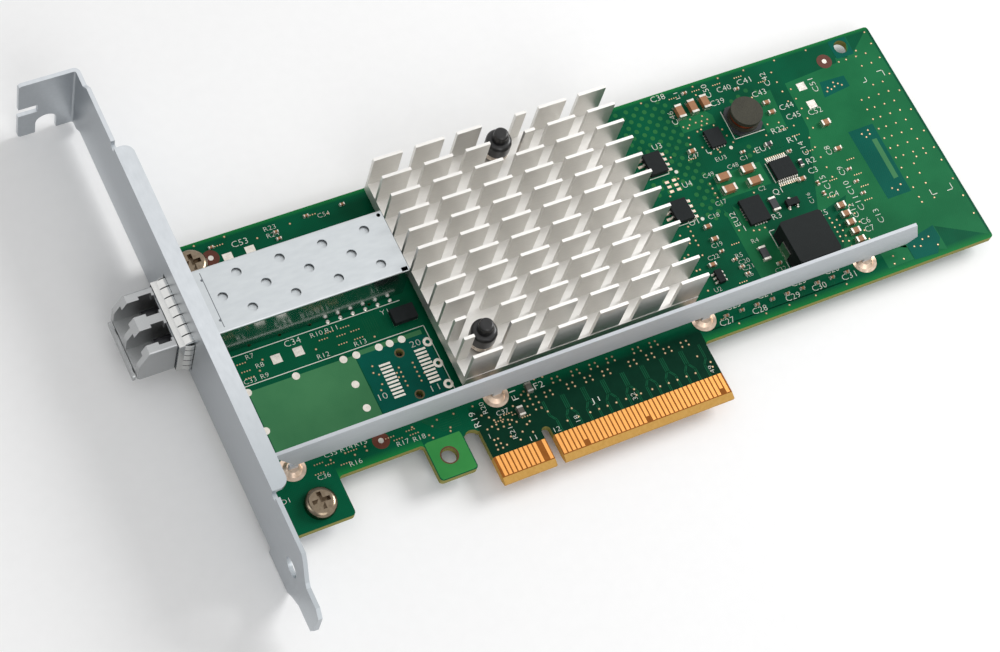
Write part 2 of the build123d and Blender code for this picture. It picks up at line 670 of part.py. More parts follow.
def cage_base():
    """The cage's floor, with a low wall behind and the legs that go into the board."""
    inner = CAGE_HALF - CAGE_T
    floor_top = CAGE_LOW + CAGE_T
    back = CAGE_BACK_X - CAGE_T
    body = block(CAGE_FRONT_X, back, CAGE_Y - inner, CAGE_Y + inner, CAGE_LOW, floor_top)
    room = HOST_W / 2 + HOST_ROOM
    body -= block(HOST_FRONT_X - 1, back + 1, CAGE_Y - room, CAGE_Y + room, CAGE_LOW, floor_top)
    for x, y in cage_leg_places():
        body += rod(x, y, BOARD_UNDER - LEG_TIP, CAGE_LOW, LEG_R)
    return body


def spring_row(width, level):
    """One row of bowed fingers split by slits, lying centred on the X axis at a height of level."""
    middle_x = (BAND_BACK_X + FINGER_END_X) / 2
    places = [(BAND_BACK_X, level), (middle_x, level + FINGER_BULGE), (FINGER_END_X, level)]
    lower = ThreePointArc(*[(x, 0, z) for x, z in places])
    upper = ThreePointArc(*[(x, 0, z + FINGER_T) for x, z in places])
    outline = Wire([lower, upper, Line(lower @ 0, upper @ 0), Line(lower @ 1, upper @ 1)])
    row = Pos(0, -width / 2, 0) * extrude(make_face(outline), amount=width, dir=(0, 1, 0))
    count = int(width / FINGER_PITCH)
    for i in range(count):
        y = FINGER_PITCH * (i - (count - 1) / 2)
        row -= block(BAND_BACK_X, FINGER_END_X + SLIT_W, y - SLIT_W / 2, y + SLIT_W / 2, level - FINGER_T,
                     level + FINGER_BULGE + 2 * FINGER_T)
    return row


def cage_spring_fingers():
    """The springy collar round the mouth of the cage, which grounds it to the bracket."""
    half = CAGE_HALF + FINGER_T
    band = block(BAND_FRONT_X, BAND_BACK_X, CAGE_Y - half, CAGE_Y + half, CAGE_LOW - FINGER_T,
                 CAGE_TOP + FINGER_T)
    band -= block(BAND_FRONT_X - 1, BAND_BACK_X + 1, CAGE_Y - CAGE_HALF, CAGE_Y + CAGE_HALF, CAGE_LOW,
                  CAGE_TOP)
    half_height = (CAGE_TOP - CAGE_LOW) / 2
    centre = Pos(0, CAGE_Y, CAGE_LOW + half_height)
    for turn in (0, 180):
        band += centre * Rot(turn, 0, 0) * spring_row(CAGE_W, half_height)
        band += centre * Rot(turn + 90, 0, 0) * spring_row(2 * half_height, CAGE_HALF)
    return band


def host_connector_body():
    """The board's socket for the transceiver's card edge."""
    half = HOST_W / 2
    body = block(HOST_FRONT_X, HOST_BACK_X, CAGE_Y - half, CAGE_Y + half, 0, HOST_H)
    for x, y in peg_places(0):
        body += rod(x, y, BOARD_UNDER, 0, PEG_R)
    slot_z = module_board_low()
    slot_half = MODULE_BOARD_W / 2 + HOST_SLOT_CLEAR
    body -= block(HOST_FRONT_X - 1, HOST_BACK_X - HOST_SLOT_WALL, CAGE_Y - slot_half, CAGE_Y + slot_half,
                  slot_z - HOST_SLOT_ROOM, slot_z + MODULE_BOARD_T + HOST_SLOT_ROOM)
    return body


def module_board_low():
    """How high the transceiver's own board lies."""
    return MODULE_LOW + MODULE_WALL + MODULE_BOARD_LIFT


def host_connector_contacts():
    """Two rows of solder tails, one on each side of the socket."""
    made = []
    for side, edge_x in ((-1, HOST_FRONT_X), (1, HOST_BACK_X)):
        for i in range(HOST_CONTACT_COUNT):
            y = CAGE_Y + HOST_PITCH * (i - (HOST_CONTACT_COUNT - 1) / 2)
            x0, x1 = sorted((edge_x, edge_x + side * HOST_CONTACT_REACH))
            made.append(block(x0, x1, y - HOST_CONTACT_W / 2, y + HOST_CONTACT_W / 2, 0, HOST_CONTACT_T))
    return made


def port_centres():
    return [CAGE_Y + side * PORT_PITCH / 2 for side in (-1, 1)]


def bail_arm_centres():
    return [CAGE_Y + side * BAIL_ARM_OFFSET for side in (-1, 1)]


def transceiver_housing():
    """The cast body: bevelled nose with two open-topped plug ports, and a tray behind it."""
    half = MODULE_W / 2
    y0, y1 = CAGE_Y - half, CAGE_Y + half
    nose = prism_y(
        [
            (NOSE_BACK_X, NOSE_LOW), (NOSE_FRONT_X + NOSE_EDGE, NOSE_LOW), (NOSE_FRONT_X, NOSE_LOW + NOSE_EDGE),
            (NOSE_FRONT_X, NOSE_BEVEL_Z), (NOSE_TOP_FRONT_X, NOSE_TOP), (NOSE_BACK_X, NOSE_TOP),
        ],
        y0, y1,
    )
    long_edges = [edge for y in (y0, y1) for edge in edges_at(nose, Axis.X, y=y, z=NOSE_TOP)]
    nose = fillet(long_edges, NOSE_EDGE_R)
    ports_end = NOSE_FRONT_X + PORT_DEPTH
    wall_end = ports_end + MODULE_WALL
    inset = COVER_T
    tray = block(NOSE_BACK_X, MODULE_BACK_X, y0 + inset, y1 - inset, MODULE_LOW, MODULE_TOP - inset)
    tray -= block(wall_end, MODULE_BACK_X - MODULE_BOARD_END - MODULE_WALL, y0 + inset + MODULE_WALL,
                  y1 - inset - MODULE_WALL, MODULE_LOW + MODULE_WALL, MODULE_TOP)
    board_low = module_board_low()
    tray -= block(wall_end, MODULE_BACK_X + 1, CAGE_Y - MODULE_BOARD_W / 2, CAGE_Y + MODULE_BOARD_W / 2,
                  board_low, MODULE_TOP)
    end_x = MODULE_BACK_X - MODULE_BOARD_END
    tray -= block(end_x, MODULE_BACK_X + 1, y0, y1, MODULE_LOW - 1, MODULE_TOP + 1)
    body = nose + tray
    latch_x = NOSE_TOP_FRONT_X
    for y in port_centres():
        body -= block(NOSE_FRONT_X - 1, ports_end, y - PORT_W / 2, y + PORT_W / 2, PORT_FLOOR, PORT_FLOOR + PORT_H)
        spans = (
            (NOSE_FRONT_X - 1, latch_x + LATCH_FRONT_L, LATCH_GAP),
            (latch_x + LATCH_FRONT_L, latch_x + LATCH_FRONT_L + LATCH_MID_L, LATCH_WIDE),
            (latch_x + LATCH_FRONT_L + LATCH_MID_L, latch_x + LATCH_FRONT_L + LATCH_MID_L + LATCH_BACK_L,
             LATCH_GAP),
        )
        for x0, x1, width in spans:
            body -= block(x0, x1, y - width / 2, y + width / 2, PORT_FLOOR + PORT_H - LATCH_CUT, NOSE_TOP + 1)
        body -= rod_x(y, BARREL_Z, ports_end - 1, wall_end + 1, BARREL_R)
    for y in bail_arm_centres():
        room = BAIL_ARM_W / 2 + BAIL_POCKET
        swing = BAIL_PIVOT_Z - NOSE_LOW + BAIL_GAP + BAIL_ARM_T
        body -= block(BAIL_PIVOT_X - BAIL_EYE_R - BAIL_POCKET, BAIL_PIVOT_X + swing + BAIL_POCKET, y - room,
                      y + room, NOSE_LOW - 1, BAIL_PIVOT_Z + BAIL_EYE_R + BAIL_POCKET)
    pin_half = BAIL_ARM_OFFSET + BAIL_ARM_W
    body -= rod_y(BAIL_PIVOT_X, BAIL_PIVOT_Z, CAGE_Y - pin_half, CAGE_Y + pin_half, BAIL_PIN_R)
    return body


def transceiver_cover():
    """The folded steel cover over the tray behind the nose."""
    half = MODULE_W / 2
    end_x = MODULE_BACK_X + COVER_OVERHANG
    cover = block(NOSE_BACK_X, end_x, CAGE_Y - half, CAGE_Y + half, MODULE_LOW, MODULE_TOP)
    inner = half - COVER_T
    cover -= block(NOSE_BACK_X - 1, end_x + 1, CAGE_Y - inner, CAGE_Y + inner, MODULE_LOW - 1,
                   MODULE_TOP - COVER_T)
    return cover


def optical_barrel(y):
    """One light port's barrel, with the bore that takes the plug's ferrule."""
    ports_end = NOSE_FRONT_X + PORT_DEPTH
    start = ports_end - BARREL_L
    barrel = rod_x(y, BARREL_Z, start, ports_end + MODULE_WALL, BARREL_R)
    return barrel - rod_x(y, BARREL_Z, start - 1, ports_end - BARREL_BORE_FLOOR, BARREL_BORE_R)


def transceiver_board():
    """The transceiver's own circuit board, whose bare end plugs into the host socket."""
    z = module_board_low()
    start = NOSE_FRONT_X + PORT_DEPTH + MODULE_WALL + MODULE_BOARD_GAP
    half = MODULE_BOARD_W / 2
    return block(start, MODULE_BACK_X, CAGE_Y - half, CAGE_Y + half, z, z + MODULE_BOARD_T)


def bail_latch():
    """The release bail: two eyes and arms under the nose, joined by a bar across its front."""
    arm_top = NOSE_LOW - BAIL_GAP
    arm_low = arm_top - BAIL_ARM_T
    bar_x1 = NOSE_FRONT_X - BAIL_GAP
    bar_x0 = bar_x1 - BAIL_BAR_T
    half = MODULE_W / 2 - BAIL_INSET
    body = block(bar_x0, bar_x1, CAGE_Y - half, CAGE_Y + half, arm_low, arm_low + BAIL_BAR_H)
    ends = [edge for side in (-1, 1) for edge in edges_at(body, Axis.X, y=CAGE_Y + side * half)]
    body = fillet(ends, BAIL_BAR_H * 0.35)
    for y in bail_arm_centres():
        low, high = y - BAIL_ARM_W / 2, y + BAIL_ARM_W / 2
        body += block(bar_x0, BAIL_PIVOT_X, low, high, arm_low, arm_top)
        body += block(BAIL_PIVOT_X - BAIL_EYE_R, BAIL_PIVOT_X + BAIL_EYE_R * 0.6, low, high, arm_low,
                      BAIL_PIVOT_Z)
        body += rod_y(BAIL_PIVOT_X, BAIL_PIVOT_Z, low, high, BAIL_EYE_R)
    pin_half = BAIL_ARM_OFFSET + BAIL_ARM_W
    bore_r = BAIL_PIN_R + BAIL_CLEAR
    return body - rod_y(BAIL_PIVOT_X, BAIL_PIVOT_Z, CAGE_Y - pin_half, CAGE_Y + pin_half, bore_r)


def bail_pin():
    """The pin that the bail turns on, pressed into the housing."""
    pin_half = BAIL_ARM_OFFSET + BAIL_ARM_W
    return rod_y(BAIL_PIVOT_X, BAIL_PIVOT_Z, CAGE_Y - pin_half, CAGE_Y + pin_half, BAIL_PIN_R)


def heatsink():
    """The milled heat sink: a plate with rows of upright blades, cleared round the push pins."""
    low_y = SINK_LAST_Y - BLADE_T / 2 - SINK_EDGE
    high_y = SINK_FIRST_Y + BLADE_T / 2 + SINK_EDGE
    plate = block(SINK_LEFT, SINK_RIGHT, low_y, high_y, SINK_LOW, SINK_BASE_TOP)
    blades = []
    for row in range(SINK_ROW_COUNT):
        y = SINK_FIRST_Y - SINK_ROW_PITCH * row
        for column in range(SINK_COLUMN_COUNT):
            x0 = SINK_LEFT + SINK_COLUMN_PITCH * column
            x1 = x0 + BLADE_L
            for pin_x, pin_y in PINS:
                across = PIN_CLEAR_R ** 2 - (y - pin_y) ** 2
                if across <= 0:
                    continue
                reach = math.sqrt(across)
                if x0 >= pin_x + reach or x1 <= pin_x - reach:
                    continue
                if pin_x - reach - x0 > x1 - pin_x - reach:
                    x1 = pin_x - reach
                else:
                    x0 = pin_x + reach
            if x1 - x0 > BLADE_L / 4:
                blades.append(block(x0, x1, y - BLADE_T / 2, y + BLADE_T / 2, SINK_BASE_TOP, SINK_TOP))
    body = plate + blades
    for x, y in PINS:
        body -= rod(x, y, SINK_LOW, SINK_BASE_TOP, PIN_HOLE_R)
    return body


def push_pin(x, y):
    """A moulded push pin: stub, head, shaft and a split barb under the board."""
    head_low = SINK_BASE_TOP + PIN_HEAD_LOW
    head_top = head_low + PIN_HEAD_H
    head = rod(x, y, head_low, head_top, PIN_HEAD_R)
    head = fillet(head.edges().group_by(Axis.Z)[-1], PIN_HEAD_H * 0.3)
    stub = rod(x, y, head_top - 1, head_top + PIN_STUB_H, PIN_STUB_R)
    stub = fillet(stub.edges().group_by(Axis.Z)[-1], PIN_STUB_R * 0.4)
    shaft = rod(x, y, BOARD_UNDER, head_low, PIN_SHAFT_R)
    cone = Cone(PIN_BARB_R, PIN_SHAFT_R * 0.6, PIN_BARB_H, align=BOTTOM)
    barb = Pos(x, y, BOARD_UNDER) * Rot(180, 0, 0) * cone
    split = block_at(x, y, BOARD_UNDER - PIN_BARB_H, PIN_SPLIT, 2 * PIN_BARB_R + 1, PIN_BARB_H + BOARD_T)
    return (shaft + barb - split) + head + stub


def push_pin_spring(x, y):
    """The coil spring round a push pin, from the plate to the underside of the head."""
    low = SINK_BASE_TOP + SPRING_WIRE_R
    height = PIN_HEAD_LOW - 2 * SPRING_WIRE_R
    path = Pos(x, y, low) * Helix(pitch=height / SPRING_TURN_COUNT, height=height, radius=SPRING_R)
    section = Plane(origin=path @ 0, z_dir=path % 0) * Circle(SPRING_WIRE_R)
    return sweep(section, path=path, is_frenet=True)


def controller_balls():
    """The solder balls under the controller: rings at the edge and a block in the middle."""
    made = []
    middle = (BALL_ROW_COUNT - 1) / 2
    for i in range(BALL_ROW_COUNT):
        for j in range(BALL_ROW_COUNT):
            edge = min(i, j, BALL_ROW_COUNT - 1 - i, BALL_ROW_COUNT - 1 - j) < BALL_EDGE_COUNT
            core = max(abs(i - middle), abs(j - middle)) < BALL_CORE_COUNT / 2
            if edge or core:
                x = CHIP_X + BALL_PITCH * (i - middle)
                y = CHIP_Y + BALL_PITCH * (j - middle)
                made.append(rod(x, y, 0, BALL_H, BALL_R))
    return made


def square_plate(width, z0, z1):
    half = width / 2
    return block(CHIP_X - half, CHIP_X + half, CHIP_Y - half, CHIP_Y + half, z0, z1)


def stiffener_bar():
    """The flat bar on edge, with cut corners, a leaning far end and a leg into each pad."""
    top = BAR_LOW + BAR_H
    outline = [
        (BAR_LEFT, top), (BAR_LEFT, BAR_LOW + BAR_LEFT_CUT_Z), (BAR_LEFT + BAR_LEFT_CUT_X, BAR_LOW),
        (BAR_RIGHT - BAR_RIGHT_CUT, BAR_LOW), (BAR_RIGHT, BAR_LOW + BAR_RIGHT_CUT),
        (BAR_RIGHT - BAR_RIGHT_LEAN, top),
    ]
    body = prism_y(outline, BAR_FRONT_Y, BAR_FRONT_Y + BAR_T)
    for x in BAR_LEGS:
        body += block(x - BAR_LEG_W / 2, x + BAR_LEG_W / 2, BAR_FRONT_Y, BAR_FRONT_Y + BAR_T,
                      BOARD_UNDER - BAR_LEG_TIP, BAR_LOW)
    return body


def stiffener_solder(x):
    """One round pad with its solder fillet, around a leg of the bar."""
    pad = rod(x, BAR_MID_Y, 0, BAR_PAD_T, BAR_PAD_R)
    mound = Pos(x, BAR_MID_Y, BAR_PAD_T) * Cone(BAR_FILLET_R, BAR_FILLET_TOP_R, BAR_FILLET_H - BAR_PAD_T,
                                                align=BOTTOM)
    leg = block_at(x, BAR_MID_Y, 0, BAR_LEG_W, BAR_T, BAR_FILLET_H)
    return pad + mound - leg


def chip_part(x, y, turn, size, z=0.0, up=1):
    """The body and the two metal ends of a chip capacitor, resistor or bead."""
    length, width, height, end = size
    grow = CHIP_END_GROW
    base = z if up > 0 else z - height
    body = block_at(x, y, base, length - 2 * end, width - 2 * grow, height - grow, turn)
    ends = []
    for side in (-1, 1):
        offset = side * (length - end) / 2
        dx = offset * math.cos(math.radians(turn))
        dy = offset * math.sin(math.radians(turn))
        ends.append(block_at(x + dx, y + dy, base, end, width, height, turn))
    return body, ends


def chip_parts(spots, size, z=0.0, up=1):
    """Bodies and ends of a list of like chip parts."""
    made = [chip_part(x, y, turn, size, z, up) for x, y, turn in spots]
    return [body for body, _ in made], [end for _, ends in made for end in ends]


def gull_lead(x, y, turn, body_half, height, size):
    """One bent lead: out of the package's side, down, and along the board."""
    width, thick, reach = size
    mid = height / 2
    outline = [
        (body_half, mid), (body_half + reach * 0.45, mid), (body_half + reach * 0.55, thick),
        (body_half + reach, thick), (body_half + reach, 0), (body_half + reach * 0.35, 0),
        (body_half + reach * 0.25, mid - thick), (body_half, mid - thick),
    ]
    lead = prism_y(outline, -width / 2, width / 2)
    return Pos(x, y, 0) * Rot(0, 0, turn) * lead


def gull_package(x, y, body, pitch, count, lead, turn=0, skip=()):
    """A leaded package: its body, and a row of leads along two sides."""
    across, along, height = body
    package = Pos(x, y, BODY_LIFT) * Rot(0, 0, turn) * Box(across, along, height - BODY_LIFT, align=BOTTOM)
    leads = []
    for side in (0, 1):
        for i in range(count):
            if (side, i) in skip:
                continue
            offset = pitch * (i - (count - 1) / 2)
            angle = turn + 180 * side
            dx = -offset * math.sin(math.radians(angle))
            dy = offset * math.cos(math.radians(angle))
            leads.append(gull_lead(x + dx, y + dy, angle, across / 2, height, lead))
    return package, leads


def flat_package(x, y, across, along, height):
    """A no-lead package and the small pads that show along two of its sides."""
    body = block_at(x, y, 0, across, along, height)
    pads = []
    reach, width, tall = QFN_PAD
    for side in (-1, 1):
        for i in range(QFN_SIDE_COUNT):
            offset = QFN_PAD_PITCH * (i - (QFN_SIDE_COUNT - 1) / 2)
            pads.append(block_at(x + side * (across + reach) / 2, y + offset, 0, reach, width, tall * 0.4))
            pads.append(block_at(x + offset, y + side * (along + reach) / 2, 0, width, reach, tall * 0.4))
    return body, pads


def drum_inductor():
    """Base plate, ferrite drum and the wire wound round its neck."""
    half = DRUM_BASE_W / 2
    base = block(DRUM_X - half, DRUM_X + half, DRUM_Y - half, DRUM_Y + half, 0, DRUM_BASE_T)
    corner_edges = [
        edge for sx in (-1, 1) for sy in (-1, 1)
        for edge in edges_at(base, Axis.Z, x=DRUM_X + sx * half, y=DRUM_Y + sy * half)
    ]
    base = chamfer(corner_edges, half * 0.3)
    flange_top = DRUM_BASE_T + DRUM_FOOT_T
    neck_top = DRUM_TOP - DRUM_TOP_T
    core = rod(DRUM_X, DRUM_Y, DRUM_BASE_T, flange_top, DRUM_R)
    core += rod(DRUM_X, DRUM_Y, flange_top, neck_top, DRUM_NECK_R)
    core += rod(DRUM_X, DRUM_Y, neck_top, DRUM_TOP, DRUM_R)
    wire_r = (neck_top - flange_top) / (2 * DRUM_COIL_COUNT)
    middle = DRUM_COIL_R - wire_r
    coil = rod(DRUM_X, DRUM_Y, flange_top, neck_top, middle)
    for i in range(DRUM_COIL_COUNT):
        z = flange_top + wire_r * (2 * i + 1)
        coil += Pos(DRUM_X, DRUM_Y, z) * Torus(middle, wire_r)
    coil -= rod(DRUM_X, DRUM_Y, flange_top, neck_top, DRUM_NECK_R)
    return base, core, coil


def power_choke():
    """The square moulded choke and its two folded terminals."""
    half = CHOKE_W / 2
    body = block(CHOKE_X - half, CHOKE_X + half, CHOKE_Y - half, CHOKE_Y + half, CHOKE_LIFT, CHOKE_TOP)
    body = chamfer(body.edges().filter_by(Axis.Z), CHOKE_CORNER)
    terminals = []
    wide = CHOKE_TERMINAL_W / 2
    for side in (-1, 1):
        outer = CHOKE_X + side * half
        inner = outer - side * CHOKE_TERMINAL_REACH
        x0, x1 = sorted((outer + side * CHOKE_TERMINAL_T, inner))
        foot = block(x0, x1, CHOKE_Y - wide, CHOKE_Y + wide, 0, CHOKE_LIFT)
        x0, x1 = sorted((outer, outer + side * CHOKE_TERMINAL_T))
        foot += block(x0, x1, CHOKE_Y - wide, CHOKE_Y + wide, 0, CHOKE_TOP * 0.55)
        terminals.append(foot)
    return body, terminals


def bare_lands():
    """Tinned lands on the component side, where nothing is fitted."""
    made = [rod(x, y, 0, LAND_T, PORT_LAND_R) for x, y in PORT_LANDS]
    made += [rod(x, y, 0, LAND_T, RING_LAND_R) - rod(x, y, 0, LAND_T, RING_LAND_HOLE) for x, y in RING_LANDS]
    made += [block_at(x, y, 0, *SQUARE_LAND, LAND_T) for x, y in SQUARE_LANDS]
    for x, y in COLUMN_LANDS:
        for i in range(HOST_CONTACT_COUNT):
            offset = HOST_PITCH * (i - (HOST_CONTACT_COUNT - 1) / 2)
            made.append(block_at(x, y + offset, 0, *COLUMN_LAND, LAND_T))
    return made


def back_spots():
    """Decoupling capacitors under the controller."""
    middle = (BACK_GRID_COUNT - 1) / 2
    return [
        (CHIP_X + BACK_STEP * (i - middle), CHIP_Y + BACK_STEP * (j - middle), ALONG_X)
        for i in range(BACK_GRID_COUNT)
        for j in range(BACK_GRID_COUNT)
    ]


def main():
    os.makedirs("parts", exist_ok=True)
    save("circuit_board", circuit_board())
    save("edge_contacts_top", *edge_contacts(1, MISSING_TOP, SHORT_TOP))
    save("edge_contacts_bottom", *edge_contacts(-1, (), SHORT_BOTTOM))
    save("bracket", bracket())
    save("bracket_screws", *[bracket_screw(x, y) for x, y in SCREWS])
    save("cage_cover", cage_cover())
    save("cage_base", cage_base())
    save("cage_spring_fingers", cage_spring_fingers())
    save("host_connector_body", host_connector_body())
    save("host_connector_contacts", *host_connector_contacts())
    save("transceiver_housing", transceiver_housing())
    save("transceiver_cover", transceiver_cover())
    save("optical_barrels", *[optical_barrel(y) for y in port_centres()])
    save("transceiver_board", transceiver_board())
    save("bail_latch", bail_latch())
    save("bail_pin", bail_pin())
    save("heatsink", heatsink())
    save("push_pins", *[push_pin(x, y) for x, y in PINS])
    save("push_pin_springs", *[push_pin_spring(x, y) for x, y in PINS])
    save("controller_balls", *controller_balls())
    save("controller_substrate", square_plate(CHIP_W, BALL_H, SUBSTRATE_TOP))
    save("controller_lid", square_plate(LID_W, SUBSTRATE_TOP, LID_TOP))
    save("thermal_pad", square_plate(LID_W, LID_TOP, SINK_LOW))
    save("stiffener_bar", stiffener_bar())
    save("stiffener_solder", *[stiffener_solder(x) for x in BAR_LEGS])

    groups = (
        ("large_capacitor", LARGE_CAPACITORS, CHIP_1206),
        ("medium_capacitor", MEDIUM_CAPACITORS, CHIP_0805),
        ("small_capacitor", SMALL_CAPACITORS, CHIP_0603),
        ("tiny_capacitor", TINY_CAPACITORS, CHIP_0402),
        ("ferrite_bead", BEADS, CHIP_0805),
    )
    for name, spots, size in groups:
        bodies, ends = chip_parts(spots, size)
        save(f"{name}_bodies", *bodies)
        save(f"{name}_ends", *ends)
    wide_bodies, wide_ends = chip_parts(RESISTORS_1206, FLAT_1206)
    small_bodies, small_ends = chip_parts(RESISTORS_0603, CHIP_0603)
    save("resistor_bodies", *wide_bodies, *small_bodies)
    save("resistor_ends", *wide_ends, *small_ends)
    back_bodies, back_ends = chip_parts(back_spots(), CHIP_0402, BOARD_UNDER, -1)
    save("back_capacitor_bodies", *back_bodies)
    save("back_capacitor_ends", *back_ends)

    memory = [gull_package(x, y, SO8_BODY, SO8_PITCH, SO8_SIDE_COUNT, SO8_LEAD) for x, y in SO8_SPOTS]
    save("memory_chip_bodies", *[body for body, _ in memory])
    save("memory_chip_leads", *[lead for _, leads in memory for lead in leads])
    body, leads = gull_package(*TSSOP_SPOT, TSSOP_BODY, TSSOP_PITCH, TSSOP_SIDE_COUNT, TSSOP_LEAD, 90)
    save("driver_chip_body", body)
    save("driver_chip_leads", *leads)
    flats = [flat_package(*QFN_SMALL), flat_package(*QFN_LARGE)]
    save("regulator_bodies", *[body for body, _ in flats])
    save("regulator_pads", *[pad for _, pads in flats for pad in pads])
    three = gull_package(*SOT3, SOT_BODY, SOT_PITCH, 3, SOT_LEAD, 90, skip=((0, 0), (0, 2), (1, 1)))
    six = gull_package(*SOT6, SOT_BODY, SOT_PITCH, 3, SOT_LEAD)
    save("transistor_bodies", three[0], six[0])
    save("transistor_leads", *three[1], *six[1])
    length, width, height = CRYSTAL_BODY
    pad_l, pad_w, pad_t = CRYSTAL_PAD
    crystal_x, crystal_y = CRYSTAL_SPOT
    save("crystal_body", block_at(crystal_x, crystal_y, pad_t, length, width, height - pad_t))
    save("crystal_pads", *[
        block_at(crystal_x + sx * (length - pad_l) / 2, crystal_y + sy * (width - pad_w) / 2, 0,
                 pad_l, pad_w, pad_t)
        for sx in (-1, 1) for sy in (-1, 1)
    ])

    base, core, coil = drum_inductor()
    save("drum_inductor_base", base)
    save("drum_inductor_core", core)
    save("drum_inductor_coil", coil)
    body, terminals = power_choke()
    save("power_choke_body", body)
    save("power_choke_terminals", *terminals)
    save("bare_lands", *bare_lands())


main()
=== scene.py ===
# %% [markdown]
# # A network interface card, dressed for its portrait
# The card is modelled as solids elsewhere and arrives here as a fixed frame: nothing in it is
# moved. This lesson gives every solid a finish and adds what is too thin for solids: the board's
# artwork, its lettering, solder, and small trim. Everything is in metres, in the frame's own axes:
# X along the card, Y up from the contact tips, Z out of the component side.

# %% Load the frame
import math
import bmesh
import bpy
from mathutils import Matrix, Vector


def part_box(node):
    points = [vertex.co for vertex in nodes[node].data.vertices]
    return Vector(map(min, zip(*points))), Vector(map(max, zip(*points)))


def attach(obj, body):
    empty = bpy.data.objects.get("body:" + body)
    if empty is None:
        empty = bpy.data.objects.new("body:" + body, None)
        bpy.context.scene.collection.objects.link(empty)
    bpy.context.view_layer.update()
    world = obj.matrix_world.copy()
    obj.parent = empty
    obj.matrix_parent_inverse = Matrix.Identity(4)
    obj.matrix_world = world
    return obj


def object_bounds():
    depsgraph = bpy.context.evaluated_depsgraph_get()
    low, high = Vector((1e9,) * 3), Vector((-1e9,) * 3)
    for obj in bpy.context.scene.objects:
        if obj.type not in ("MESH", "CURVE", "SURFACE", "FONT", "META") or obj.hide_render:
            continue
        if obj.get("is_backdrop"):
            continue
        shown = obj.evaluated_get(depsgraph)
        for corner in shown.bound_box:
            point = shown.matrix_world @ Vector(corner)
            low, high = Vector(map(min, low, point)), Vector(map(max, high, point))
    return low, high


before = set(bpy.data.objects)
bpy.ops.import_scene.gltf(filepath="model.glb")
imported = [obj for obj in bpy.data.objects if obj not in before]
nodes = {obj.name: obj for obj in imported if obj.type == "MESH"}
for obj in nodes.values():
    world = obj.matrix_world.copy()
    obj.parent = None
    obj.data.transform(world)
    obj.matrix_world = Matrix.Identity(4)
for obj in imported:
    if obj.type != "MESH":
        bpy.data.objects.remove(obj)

cad_low, cad_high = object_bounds()
print("nodes:", len(nodes), "box in mm:", [round(1000 * v) for v in cad_high - cad_low])

# %% [markdown]
# ## The camera
# The card lies on its back and is seen from above its bracket end with a long lens. The place and
# the turn were worked out from a dozen corners of the card, so they are plain numbers here.

# %% Camera
LENS_MM, SENSOR_MM = 86.67, 36.0
CAMERA_PLACE = (-0.165459, -0.131691, 0.415220)
CAMERA_DEGREES = (27.4175, -10.7651, -25.9203)
camera_data = bpy.data.cameras.new("camera")
camera_data.lens = LENS_MM
camera_data.sensor_width = SENSOR_MM
camera = bpy.data.objects.new("camera", camera_data)
camera.location = CAMERA_PLACE
camera.rotation_euler = [math.radians(angle) for angle in CAMERA_DEGREES]
bpy.context.scene.collection.objects.link(camera)
bpy.context.scene.camera = camera
bpy.context.scene.view_settings.view_transform = "Standard"
print("camera at", [round(v, 3) for v in camera.location])

# %% [markdown]
# ## One helper for all shader maths
# A finish is a small program of nodes. Wiring it by hand hides the idea, so one class wraps a
# node's output and lets plain Python expressions add the Math nodes: `1 - mask` works too.

# %% Shader maths
class Wire:
    """A node's output that can be added, multiplied and compared like a number."""

    def __init__(self, finish, socket):
        self.finish, self.socket = finish, socket

    def maths(self, operation, first, second=None):
        values = {0: first} if second is None else {0: first, 1: second}
        return self.finish.node("Math", {"operation": operation}, values)

    def __add__(self, other):
        return self.maths("ADD", self, other)

    def __sub__(self, other):
        return self.maths("SUBTRACT", self, other)

    def __rsub__(self, other):
        return self.maths("SUBTRACT", other, self)

    def __mul__(self, other):
        return self.maths("MULTIPLY", self, other)

    def __gt__(self, other):
        return self.maths("GREATER_THAN", self, other)

    def __lt__(self, other):
        return self.maths("LESS_THAN", self, other)

    def absolute(self):
        return self.maths("ABSOLUTE", self)

    def sine(self):
        return self.maths("SINE", self)

    def fraction(self):
        return self.maths("FRACT", self)

    __radd__ = __add__


def paint(red, green, blue):
    """A colour as a screen shows it, 0 to 255, made linear for the renderer."""
    linear = [c / 12.92 if c <= 0.04045 else ((c + 0.055) / 1.055) ** 2.4
              for c in (red / 255, green / 255, blue / 255)]
    return (*linear, 1.0)


